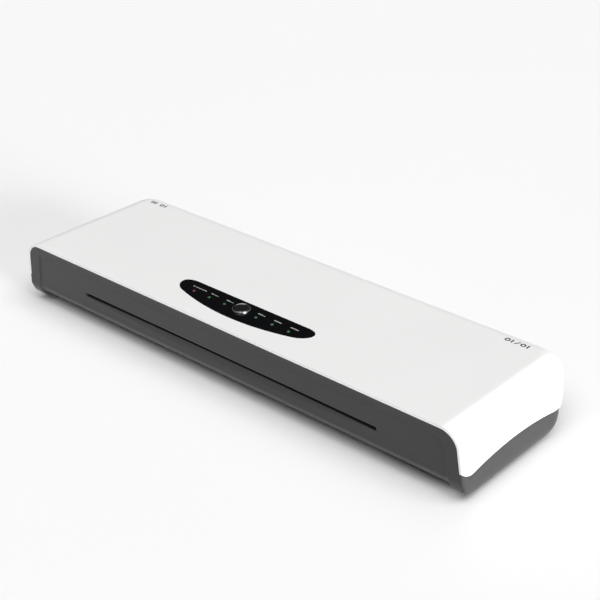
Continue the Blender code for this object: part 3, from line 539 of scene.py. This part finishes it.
def cover_rows(bm):
    """Rows of vertices from the flat top, over the rounded edge and down to the skirt."""
    rows = []
    for inset, degrees in [(EDGE_ROUND + 1.5, 0.0)] + [(None, 5.0 * i) for i in range(19)]:
        t = radians(degrees)
        z = TOP - EDGE_ROUND * (1 - cos(t))
        if inset is None:
            inset = EDGE_ROUND * (1 - sin(t))
        corner = max(CORNER_ROUND - 0.7 * inset, 2.0)
        plan = mirrored(end_and_corner(case_half(z) - inset, front_y(z), REAR - inset, corner))
        rows.append([bm.verts.new((x, y, z)) for x, y in plan])
    wall_top = TOP - EDGE_ROUND
    edge_heights = [skirt_z(y) for x, y in cover_wall(SKIRT_LOW)]
    wall_rows = 12
    for i in range(1, wall_rows + 1):
        row = []
        for k, edge_z in enumerate(edge_heights):
            z = wall_top + (edge_z - wall_top) * i / wall_rows
            row.append(bm.verts.new((*cover_wall(z)[k], z)))
        rows.append(row)
    return rows


def make_cover(material):
    """Outer skin with rounded top edges, thickened inwards, then opened at the rear."""
    bm = bmesh.new()
    rows = cover_rows(bm)
    grid_faces(bm, rows)
    edges = [bm.edges.get((a, b)) for a, b in zip(rows[0], rows[0][1:])]
    edges.append(bm.edges.new((rows[0][-1], rows[0][0])))
    window = [bm.verts.new((x, y, TOP)) for x, y in panel_outline(GAP)]
    for i, vert in enumerate(window):
        edges.append(bm.edges.new((vert, window[(i + 1) % len(window)])))
    bmesh.ops.triangle_fill(bm, use_beauty=True, use_dissolve=False, edges=edges)
    cover = finish_mesh(bm, "cover_shell", material)
    solidify = cover.modifiers.new("wall", "SOLIDIFY")
    solidify.thickness = WALL * MM
    solidify.offset = -1
    solidify.use_even_offset = True
    opening = rounded_rectangle(-REAR_OPENING_HALF, SKIRT_LOW - CUT_PAST, REAR_OPENING_HALF,
                                REAR_OPENING_TOP, 2.0)
    carve(cover, [plate("rear_opening", [opening], "Y", REAR - CUT_PAST, 2 * CUT_PAST, None)])
    soften(cover, 0.45)
    show(cover, replaces=("top_cover",))


# ---------------------------------------------------------------- base

def base_outer(z):
    """Loop of the base's outside at one height, with a rebate beside each end of the fascia."""
    side_inset = round_inset(BASE_BOTTOM + SIDE_ROUND - z, SIDE_ROUND)
    rear_inset = round_inset(BASE_BOTTOM + REAR_ROUND - z, REAR_ROUND)
    half = case_half(z) - side_inset
    first = front_y(z) + round_inset(BASE_BOTTOM + FRONT_ROUND - z, FRONT_ROUND)
    rear = BASE_REAR - rear_inset
    corner = BASE_CORNER + 0.12 * rear_inset
    flank = WALL + GAP
    edge = BASE_EDGE_ROUND
    points = [(half - flank, BASE_FRONT_WALL), (half - flank, first)]
    for i in range(6):
        t = radians(-90 + 15 * i)
        points.append((half - edge + edge * cos(t), first + edge + edge * sin(t)))
    return points + end_and_corner(half, first + edge, rear, corner)


def base_inner(z, inset):
    """Loop inside the base's outer skin, parallel to it, with as many points as base_outer."""
    half = case_half(z) - inset
    first = BASE_FRONT_WALL + inset - WALL - GAP
    step = 0.2
    points = [(half, first + step * (i + 1)) for i in range(8)]
    rear = BASE_REAR - inset - round_inset(BASE_BOTTOM + REAR_ROUND - z, REAR_ROUND)
    return points + end_and_corner(half, first + 9 * step, rear, BASE_CORNER - 2.0)


def raised_loop(points, height):
    """Give each plan point its own height and the case's lean at that height."""
    lifted = []
    for x, y in mirrored(points):
        z = height(y)
        side = 1 if x > 0 else -1
        lifted.append((x + side * (case_half(z) - case_half(SKIRT_LOW)), y, z))
    return lifted


def skirt_top(y):
    """Height of the base's outer edge, which follows the cover's lower edge."""
    return skirt_z(y) - SEAM


def lip_foot(y):
    return skirt_z(max(y, BASE_FRONT_WALL)) - SEAM


def lip_top(y):
    """Height of the lip's top, which ramps up from both of its ends."""
    front_ramp = min(max((y - LIP_FRONT) / LIP_FRONT_RAMP, 0.0), 1.0)
    rear_ramp = min(max((LIP_REAR - y) / LIP_REAR_RAMP, 0.0), 1.0)
    return lip_foot(y) + LIP_END + (LIP - LIP_END) * front_ramp * rear_ramp


def make_base(material):
    """Tray lofted up its outside, over the lip and down its inside, raised between the runners."""
    loops = []
    for i in range(14):
        z = BASE_BOTTOM + REAR_ROUND * (1 - cos(radians(6 * i)))
        loops.append([(x, y, z) for x, y in mirrored(base_outer(z))])
    lip_inset = WALL + GAP
    inner_inset = lip_inset + WALL
    loops.append(raised_loop(base_outer(SKIRT_LOW), skirt_top))
    lip_outer = base_inner(SKIRT_LOW, lip_inset)
    lip_inner = base_inner(SKIRT_LOW, inner_inset)
    loops.append(raised_loop(lip_outer, lip_foot))
    loops.append(raised_loop(lip_outer, lip_top))
    loops.append(raised_loop(lip_inner, lip_top))
    for z, inset in ((INNER_FOOT, inner_inset), (FLOOR, inner_inset + FLOOR_INSET)):
        loops.append([(x, y, z) for x, y in mirrored(base_inner(z, inset))])
    base = loft("base_shell", loops, material)
    foot = RUNNER_START
    shoulder = RUNNER_START - RUNNER_CHAMFER
    below = BASE_BOTTOM - 3
    tunnel = [(-foot, below), (foot, below), (foot, BASE_BOTTOM), (shoulder, MIDDLE_BOTTOM),
              (-shoulder, MIDDLE_BOTTOM), (-foot, BASE_BOTTOM)]
    cutters = [plate("runner_tunnel", [tunnel], "Y", FRONT - 5, REAR - FRONT + 10, None)]
    carve(base, cutters + underside_cutters())
    soften(base, 0.3)
    show(base, replaces=("base_tray",))


# ---------------------------------------------------------------- fascia

def smooth_step(value, low, high):
    """Ease from 0 at low to 1 at high."""
    t = min(max((value - low) / (high - low), 0.0), 1.0)
    return t * t * (3 - 2 * t)


def recess_depth(x, z):
    """Depth of the shallow recess: full inside its rounded outline, nothing outside."""
    inside_x = case_half(z) - WALL - SIDE_BORDER - abs(x)
    inside_z = RIM - RECESS_BORDER - z
    if inside_x < RECESS_CORNER and inside_z < RECESS_CORNER:
        away_x = RECESS_CORNER - inside_x
        away_z = RECESS_CORNER - inside_z
        inside = RECESS_CORNER - sqrt(away_x * away_x + away_z * away_z)
    else:
        inside = min(inside_x, inside_z)
    return RECESS_DEPTH * smooth_step(inside, -0.35, 0.35)


def scoop_depth(x, z):
    """Depth of the lens-shaped hollow that leads a pouch into the slot, mostly below it."""
    reach = max(0.0, 1 - (x / (SLOT_LENGTH / 2 + 4)) ** 2)
    if z < SLOT_Z:
        extent = 2.0 + 7.0 * reach
        deepest = 2.6
    else:
        extent = 1.5 + 1.5 * reach
        deepest = 0.6
    share = abs(z - SLOT_Z) / extent
    if share >= 1.0:
        return 0.0
    return deepest * sqrt(reach) * (1 - share) ** 1.3


def fascia_columns():
    """Fractions of the half width, with the top's drop there, closer together at the ends."""
    corner_x = case_half(RIM) - WALL - GAP
    corner_start = (corner_x - FASCIA_CORNER) / corner_x
    dense_start = 0.9
    steps = 24
    columns = [(dense_start * i / 60, 0.0) for i in range(61)]
    for i in range(1, steps + 1):
        columns.append((dense_start + (corner_start - dense_start) * i / steps, 0.0))
    for i in range(1, steps + 1):
        t = radians(90 * i / steps)
        x = corner_x - FASCIA_CORNER * (1 - sin(t))
        columns.append((x / corner_x, FASCIA_CORNER * (1 - cos(t))))
    return [(-u, drop) for u, drop in reversed(columns[1:])] + columns


def fascia_bottom(u):
    """Underside height at a column, stepping down to the runners near the ends."""
    step = smooth_step(abs(u), *RUNNER_COLUMNS)
    return MIDDLE_BOTTOM - (MIDDLE_BOTTOM - BASE_BOTTOM) * step


def fascia_front(u, drop, inset):
    """Points down the fascia at one column; inset moves them in from the front face."""
    bottom = fascia_bottom(u) + inset
    radius = FRONT_ROUND - inset
    flat_top = RIM - GAP - drop
    flat_bottom = bottom + radius
    flat_rows = 96
    heights = [flat_top + (flat_bottom - flat_top) * i / flat_rows for i in range(flat_rows + 1)]
    points = [(z, front_y(z) + SETBACK + inset) for z in heights]
    start_y = front_y(flat_bottom) + SETBACK + inset
    for i in range(1, 31):
        t = radians(3 * i)
        points.append((flat_bottom - radius * sin(t), start_y + radius * (1 - cos(t))))
    placed = []
    for z, y in points:
        side_inset = round_inset(BASE_BOTTOM + SIDE_ROUND - z, SIDE_ROUND)
        edge = WALL + GAP + FASCIA_SIDE_GAP + side_inset
        placed.append((u * (case_half(z) - edge), y, z))
    return placed


def fascia_grid(bm, inset):
    """Columns of vertices over the front face, or over the back when there is an inset."""
    grid = []
    for u, drop in fascia_columns():
        column = []
        for x, y, z in fascia_front(u, drop, inset):
            if not inset:
                floor_y = front_y(z) + SETBACK + recess_depth(x, z)
                y = max(y, floor_y) + scoop_depth(x, z)
            column.append(bm.verts.new((x, y, z)))
        grid.append(column)
    grid_faces(bm, grid)
    return grid


def make_fascia(material):
    """Front panel with its recess and scoop, thickened, then the slot cut through it."""
    bm = bmesh.new()
    front = fascia_grid(bm, 0.0)
    back = fascia_grid(bm, FASCIA_THICKNESS)
    for end in (0, -1):
        for a, b in zip(range(len(front)), range(1, len(front))):
            bm.faces.new((front[a][end], front[b][end], back[b][end], back[a][end]))
        for a, b in zip(range(len(front[0])), range(1, len(front[0]))):
            bm.faces.new((front[end][a], front[end][b], back[end][b], back[end][a]))
    fascia = finish_mesh(bm, "fascia_panel", material)
    half = SLOT_LENGTH / 2
    slot = rounded_rectangle(-half, SLOT_Z - ENTRY_SLOT_BELOW, half, SLOT_Z + ENTRY_SLOT_ABOVE, 0.8)
    carve(fascia, [plate("entry_slot", [slot], "Y", FRONT - 5, 20, None)])
    soften(fascia, 0.3, 2, 50.0)
    show(fascia, replaces=("front_fascia",))


# ---------------------------------------------------------------- control panel

def light_x(index):
    low, high = node_box(LIGHT_NAMES[index])
    return (low.x + high.x) / 2


def make_panel(material):
    holes = [circle(light_x(i), LIGHT_Y, LIGHT_RADIUS + GAP, 32) for i in range(6)]
    holes.append(circle(PANEL_X, BUTTON_Y, RING_OUTER + GAP, 64))
    panel = plate("lens_panel", [panel_outline()] + holes, "Z", PANEL_TOP - PANEL_THICKNESS,
                  PANEL_THICKNESS, material)
    soften(panel, 0.25)
    show(panel, replaces=("control_panel",))


def make_lights(materials):
    """Crowned lenses on stems, level with the panel."""
    for i, name in enumerate(LIGHT_NAMES):
        low, high = node_box(name)
        shoulder = low.z + 2.7
        profile = [(low.z, LIGHT_STEM), (shoulder, LIGHT_STEM), (shoulder, LIGHT_RADIUS)]
        for k in range(9):
            t = radians(10 * k)
            profile.append((high.z - 0.5 * (1 - sin(t)), LIGHT_RADIUS * cos(t)))
        colour = "red_lens" if name == "power_light" else "green_lens"
        lens = turned(name + "_lens", profile, (light_x(i), LIGHT_Y), "Z", materials[colour],
                      segments=32)
        show(lens, replaces=(name,))


def make_button(material):
    """Round button with a rounded edge and a slight crown, on its plunger."""
    low = node_box("mode_button")[0].z
    skirt = PANEL_TOP - 3.0
    plunger = 2.0
    profile = [(low, plunger), (skirt, plunger), (skirt, BUTTON_RADIUS)]
    crown_start = BUTTON_RADIUS - BUTTON_EDGE
    for i in range(9):
        t = radians(90 * i / 8)
        profile.append((BUTTON_TOP - BUTTON_CROWN - BUTTON_EDGE + BUTTON_EDGE * sin(t),
                        crown_start + BUTTON_EDGE * cos(t)))
    for radius in (4.4, 3.0, 1.7, 0.5):
        profile.append((BUTTON_TOP - BUTTON_CROWN * (radius / crown_start) ** 2, radius))
    button = turned("button_cap", profile, (PANEL_X, BUTTON_Y), "Z", material, segments=96)
    show(button, "mode_button", replaces=("mode_button",))


def make_ring(material):
    """Bright ring round the button, curving up and in from the panel."""
    foot = PANEL_TOP - PANEL_THICKNESS
    start = TOP + 0.1
    profile = [(foot, RING_INNER), (foot, RING_OUTER), (start, RING_OUTER)]
    for i in range(1, 9):
        t = i / 8
        profile.append((start + (RING_TOP - start) * sin(t * pi / 2),
                        RING_OUTER - (RING_OUTER - RING_INNER - 0.2) * t ** 1.6))
    profile.append((RING_TOP - 0.2, RING_INNER))
    ring = turned("button_bezel", profile, (PANEL_X, BUTTON_Y), "Z", material, True, 96)
    show(ring, replaces=("button_ring",))


# ---------------------------------------------------------------- marks

def ink(name, bars, z, material):
    """Thin printed marks: each bar is an outline lying on the surface at height z."""
    bm = bmesh.new()
    for outline in bars:
        low = [bm.verts.new((x, y, z + 0.01)) for x, y in outline]
        high = [bm.verts.new((x, y, z + 0.05)) for x, y in outline]
        grid_faces(bm, [high, low], around=True)
        bm.faces.new(high)
        bm.faces.new(low[::-1])
    show(finish_mesh(bm, name, material))


def bar(x, y, length, width):
    """Rectangle round its middle."""
    return rectangle(x - length / 2, y - width / 2, x + length / 2, y + width / 2)


def arc_band(x, y, radius, width, start, end, steps=20):
    """Part of a flat ring between two angles, in degrees."""
    outer = []
    inner = []
    for i in range(steps + 1):
        t = radians(start + (end - start) * i / steps)
        outer.append((x + (radius + width / 2) * cos(t), y + (radius + width / 2) * sin(t)))
        inner.append((x + (radius - width / 2) * cos(t), y + (radius - width / 2) * sin(t)))
    return outer + inner[::-1]


def circle_mark(x, y):
    return arc_band(x, y, 1.8, 1.2, 0, FULL_TURN, 40)


def make_legends(material):
    """A switch-on symbol and a row of bars by the first light, and a level by each other."""
    row = LIGHT_Y + 5.9
    first = light_x(0)
    symbol_x = first - 5.3
    bars = [arc_band(symbol_x, row, 0.8, 0.35, 120, 420), bar(symbol_x, row + 0.6, 0.35, 1.0)]
    for k in range(5):
        bars.append(bar(first - 2.0 + 2.6 * k, row, 2.1, 0.9))
    full = 1.3
    for index in range(1, len(LIGHT_NAMES)):
        x = light_x(index) - 2.0
        for k in range(5):
            tall = full if k < index else 0.7
            bars.append(bar(x + 1.7 * k, row - (full - tall) / 2, 1.3, tall))
    ink("light_legends", bars, PANEL_TOP, material)


def make_rear_marks(material):
    """Generic rings and strokes on the cover above the two switches."""
    y = 59.4
    slant = [(198.6, y - 2.4), (199.9, y - 2.4), (203.0, y + 2.4), (201.7, y + 2.4)]
    marks = [circle_mark(191.6, y), bar(196.0, y, 1.3, 4.8), slant,
             circle_mark(206.2, y), bar(210.6, y, 1.3, 4.8)]
    for k in range(3):
        marks.append(bar(-218.2 + 2.6 * k, y, 1.4, 4.6))
    marks += [circle_mark(-204.8, y), bar(-200.2, y, 1.3, 4.6)]
    ink("rear_marks", marks, TOP, material)


# ---------------------------------------------------------------- rear

def many_plates(name, outlines, axis, start, thickness):
    """One cutter made of many separate plates."""
    made = [plate(name, [outline], axis, start, thickness, None) for outline in outlines]
    bm = bmesh.new()
    for piece in made:
        bm.from_mesh(piece.data)
        bpy.data.objects.remove(piece, do_unlink=True)
    mesh = bpy.data.meshes.new(name)
    bm.to_mesh(mesh)
    bm.free()
    cutter = bpy.data.objects.new(name, mesh)
    bpy.context.scene.collection.objects.link(cutter)
    return cutter


def housing_hole(name):
    """Corners of the hole in the rear wall behind a housing's bezel."""
    low, high = node_box(name)
    return (low.x + BEZEL_OVERLAP, SWITCH_Z - SWITCH_HOLE_HALF,
            high.x - BEZEL_OVERLAP, SWITCH_Z + SWITCH_HOLE_HALF)


def make_rear_wall(material):
    """Rear panel with the exit slot, the holes for three housings and a row of vents."""
    half = REAR_OPENING_HALF - GAP
    outline = rounded_rectangle(-half, SKIRT_LOW, half, REAR_PANEL_TOP, 1.5)
    reach = SLOT_LENGTH / 2 + 2
    opening = EXIT_SLOT_OPENING / 2
    holes = [rounded_rectangle(-reach, SLOT_Z - opening, reach, SLOT_Z + opening, 1.2),
             rectangle(*housing_hole("power_switch_body")),
             rectangle(*housing_hole("heat_switch_body")),
             rounded_rectangle(*housing_hole("power_inlet"), 3)]
    wall = plate("rear_wall", [outline] + holes, "Y", REAR_PANEL_FRONT,
                 REAR_PANEL_BACK - REAR_PANEL_FRONT, material)
    vents = []
    for i in range(25):
        x = -144.0 + 12.0 * i
        vents.append(rounded_rectangle(x - 1.2, SLOT_Z + 4.5, x + 1.2, SLOT_Z + 10.0, 1.1, 4))
    vent_depth = 1.3
    carve(wall, [many_plates("vents", vents, "Y", REAR_PANEL_BACK - vent_depth, 5.0)])
    soften(wall, 0.3)
    show(wall, replaces=("rear_panel",))


def tilted(axis_y, u, v):
    """Point (y, z) of a rocker from its distance out from, and up from, its pin line."""
    t = radians(ROCKER_TILT)
    return (axis_y + u * cos(t) - v * sin(t), SWITCH_Z + u * sin(t) + v * cos(t))


def make_rocker_marks(name, middle, axis_y, material):
    """The I and O on a rocker, raised a little from it."""
    bm = bmesh.new()
    circle_outline = arc_band(middle, -2.6, 0.75, 0.4, 0, FULL_TURN, 24)
    for mark in (bar(middle, 2.6, 0.45, 1.8), circle_outline):
        loops = []
        for u in (1.56, 1.74):
            loops.append([bm.verts.new((x, *tilted(axis_y, u, v))) for x, v in mark])
        grid_faces(bm, loops, around=True)
        bm.faces.new(loops[0])
        bm.faces.new(loops[1][::-1])
    show(finish_mesh(bm, name + "_rocker_marks", material), name + "_rocker")


def make_switch(name, material, ink_material):
    """Housing with a bezel and a well, and the rocker that tilts in it."""
    low, high = node_box(name + "_switch_body")
    middle = (low.x + high.x) / 2
    half = (high.x - low.x) / 2 - 1.0
    bezel_depth = 0.9
    face = high.y - bezel_depth
    bezel = rounded_rectangle(low.x, low.z, high.x, high.z, 1.0)
    body = plate(name + "_switch_housing", [bezel], "Y", face, bezel_depth, material)
    inner = rectangle(middle - half + GAP, SWITCH_Z - 6.3, middle + half - GAP, SWITCH_Z + 6.3)
    well_half = half - WELL_BORDER
    well = rounded_rectangle(middle - half + WELL_BORDER, SWITCH_Z - 5.2,
                             middle + half - WELL_BORDER, SWITCH_Z + 5.2, 0.5)
    carve(body, [plate("case", [inner], "Y", low.y, face - low.y + 0.5, None)], "UNION")
    carve(body, [plate("well", [well], "Y", face - 6.0, 12.0, None)])
    soften(body, 0.25)
    show(body, replaces=(name + "_switch_body",))
    axis_y = face - 0.6
    outline = [(1.5 + 0.4 * (i / 14) ** 2, 4.6 * i / 14) for i in range(-14, 15)]
    outline += [(-1.6, 3.4), (-3.2, 0.0), (-1.6, -3.4)]
    half_rocker = well_half - GAP
    rocker = plate(name + "_rocker_cap", [[tilted(axis_y, u, v) for u, v in outline]], "X",
                   middle - half_rocker, 2 * half_rocker, material)
    soften(rocker, 0.25, angle=30.0)
    show(rocker, name + "_rocker", replaces=(name + "_rocker",))
    make_rocker_marks(name, middle, axis_y, ink_material)


def make_inlet(material, pin_material):
    """Two-pin mains inlet: bezel, socket and steel pins."""
    low, high = node_box("power_inlet")
    middle = (low.x + high.x) / 2
    bezel_depth = 1.0
    face = high.y - bezel_depth
    bezel = rounded_rectangle(low.x, low.z, high.x, high.z, 3.0)
    inlet = plate("inlet_housing", [bezel], "Y", face, bezel_depth, material)
    inner = rounded_rectangle(middle - 9.4, SWITCH_Z - 6.2, middle + 9.4, SWITCH_Z + 6.2, 3.0)
    socket = rounded_rectangle(middle - 7.6, SWITCH_Z - 4.2, middle + 7.6, SWITCH_Z + 4.2, 4.1, 12)
    carve(inlet, [plate("case", [inner], "Y", low.y, face - low.y + 0.5, None)], "UNION")
    carve(inlet, [plate("socket", [socket], "Y", face - 12.0, 20.0, None)])
    soften(inlet, 0.3)
    show(inlet, replaces=("power_inlet",))
    profile = [(face - 12.5, 1.2), (face - 2.2, 1.2), (face - 1.5, 0.9), (face - 1.2, 0.4)]
    for offset, name in ((-4.2, "left"), (4.2, "right")):
        pin = turned("inlet_pin_" + name, profile, (middle + offset, SWITCH_Z), "Y",
                     pin_material, segments=24)
        show(pin)


# ---------------------------------------------------------------- underside

def underside_cutters():
    """Wells for the case screws and two rows of shallow cooling grooves."""
    below = MIDDLE_BOTTOM - 2
    wells = [circle(x, y, SCREW_WELL_RADIUS, 32) for x, y in SCREWS]
    grooves = []
    for i in range(17):
        x = -128.0 + 16.0 * i
        for y in (-22.0, 14.0):
            grooves.append(rounded_rectangle(x - 1.3, y, x + 1.3, y + 22.0, 1.2, 4))
    return [many_plates("wells", wells, "Z", below, 2 + SCREW_WELL_DEPTH),
            many_plates("grooves", grooves, "Z", below, 2 + GROOVE_DEPTH)]


def make_screws(material):
    """Cross-head case screws in their wells."""
    low = MIDDLE_BOTTOM + 0.15
    profile = [(low, 2.0), (low + 0.25, 2.7), (low + 1.2, 2.9)]
    for i, (x, y) in enumerate(SCREWS):
        screw = turned("case_screw_%d" % (i + 1), profile, (x, y), "Z", material, segments=32)
        arms = [bar(x, y, 3.0, 0.6), bar(x, y, 0.6, 3.0)]
        carve(screw, [plate("arm", [arm], "Z", low - 1, 1.7, None) for arm in arms])
        show(screw)


def make_feet(material):
    """Rubber pads with full round ends."""
    for node in ("foot_front_left", "foot_front_right", "foot_rear_left", "foot_rear_right"):
        low, high = node_box(node)
        corner = (high.x - low.x) / 2 - 0.05
        outline = rounded_rectangle(low.x, low.y, high.x, high.y, corner, 10)
        pad = plate(node.replace("foot", "foot_pad"), [outline], "Z", low.z, high.z - low.z,
                    material)
        soften(pad, 0.4)
        show(pad, replaces=(node,))


# ---------------------------------------------------------------- carried-over nodes

def dress_nodes(materials):
    """Give every CAD node that stays its own procedural material."""
    slots = {part["node"]: part["material_slot"] for part in frame["record"]["subparts"]}
    for name, node in frame["nodes"].items():
        node.data.materials.clear()
        node.data.materials.append(materials[slots[name]])
        node.data.shade_smooth()
        node.data.set_sharp_from_angle(angle=radians(SMOOTH_ANGLE))


# ---------------------------------------------------------------- stage

def make_floor():
    """Large pale floor under the feet."""
    bm = bmesh.new()
    size = 30000.0
    bm.faces.new([bm.verts.new((x, y, 0.0)) for x, y in rectangle(-size, -size, size, size)])
    made, tree, shader = new_material("floor_paint", (0.9, 0.9, 0.9), 0.7)
    point = object_point(tree)
    drift = remap(tree, noise(tree, point, 1.5, 2.0), 0.0, 1.0)
    tree.links.new(mix_colours(tree, drift, (0.9, 0.9, 0.9), (0.89, 0.89, 0.89)),
                   shader.inputs["Base Color"])
    finish_mesh(bm, "floor", made)


# brightness of the sky at the sine of each elevation
SKY = ((-0.05, 0.9), (0.06, 0.9), (0.12, 0.05), (0.66, 0.05), (0.8, 0.45), (1.0, 0.45))


def make_sky():
    """Pale at the horizon, dim above it and bright overhead, like a large softbox."""
    world = bpy.data.worlds.new("studio")
    world.use_nodes = True
    tree = world.node_tree
    source = tree.nodes.new("ShaderNodeTexCoord")
    split = tree.nodes.new("ShaderNodeSeparateXYZ")
    tree.links.new(source.outputs["Generated"], split.inputs["Vector"])
    height = tree.nodes.new("ShaderNodeMapRange")
    height.inputs["From Min"].default_value = -1.0
    tree.links.new(split.outputs["Z"], height.inputs["Value"])
    ramp = tree.nodes.new("ShaderNodeValToRGB")
    tree.links.new(height.outputs["Result"], ramp.inputs["Fac"])
    elements = ramp.color_ramp.elements
    while len(elements) < len(SKY):
        elements.new(0.5)
    brightest = max(value for _, value in SKY)
    for element, (rise, value) in zip(elements, SKY):
        element.position = (rise + 1) / 2
        element.color = (value / brightest, value / brightest, value / brightest, 1.0)
    background = tree.nodes["Background"]
    tree.links.new(ramp.outputs["Color"], background.inputs["Color"])
    background.inputs["Strength"].default_value = brightest
    bpy.context.scene.world = world


def add_sun(name, azimuth, elevation, strength, angle):
    """Distant soft light from an azimuth measured from +X towards +Y."""
    light = bpy.data.lights.new(name, "SUN")
    light.energy = strength
    light.angle = radians(angle)
    lamp = bpy.data.objects.new(name, light)
    a = radians(azimuth)
    e = radians(elevation)
    towards = Vector((cos(a) * cos(e), sin(a) * cos(e), sin(e)))
    lamp.rotation_euler = towards.to_track_quat("Z", "Y").to_euler()
    bpy.context.scene.collection.objects.link(lamp)


def make_lighting():
    make_sky()
    add_sun("side_light", -6.0, 9.5, 3.2, 20.0)
    add_sun("front_light", -80.0, 60.0, 1.2, 40.0)
    add_sun("right_light", 0.0, 60.0, 1.3, 40.0)
    bpy.context.scene.view_settings.view_transform = "Standard"
    bpy.context.scene.view_settings.look = "None"


def make_camera():
    azimuth = radians(41.286)
    elevation = radians(27.939)
    back = Vector((sin(azimuth) * cos(elevation), -cos(azimuth) * cos(elevation),
                   sin(elevation)))
    data = bpy.data.cameras.new("camera")
    data.lens = 79.85
    data.sensor_width = 36.0
    camera = bpy.data.objects.new("camera", data)
    camera.location = Vector((673.2, -738.65, 586.0)) * MM
    camera.rotation_euler = (-back).to_track_quat("-Z", "Y").to_euler()
    bpy.context.scene.collection.objects.link(camera)
    bpy.context.scene.camera = camera


def main():
    materials = make_materials()
    dress_nodes(materials)
    make_cover(materials["white_plastic"])
    # the base gets the grey plastic painted lighter, as painted light for the side light on its
    # ends
    make_base(materials["base_plastic_painted_light"])
    make_fascia(materials["grey_plastic"])
    make_panel(materials["black_gloss"])
    make_lights(materials)
    make_button(materials["cap_plastic"])
    make_ring(materials["bright_ring"])
    make_legends(materials["legend_ink"])
    make_rear_marks(materials["mark_ink"])
    make_rear_wall(materials["grey_plastic"])
    make_switch("power", materials["black_plastic"], materials["legend_ink"])
    make_switch("heat", materials["black_plastic"], materials["legend_ink"])
    make_inlet(materials["black_plastic"], materials["steel"])
    make_screws(materials["steel"])
    make_feet(materials["foot_rubber"])
    make_floor()
    make_lighting()
    make_camera()


main()
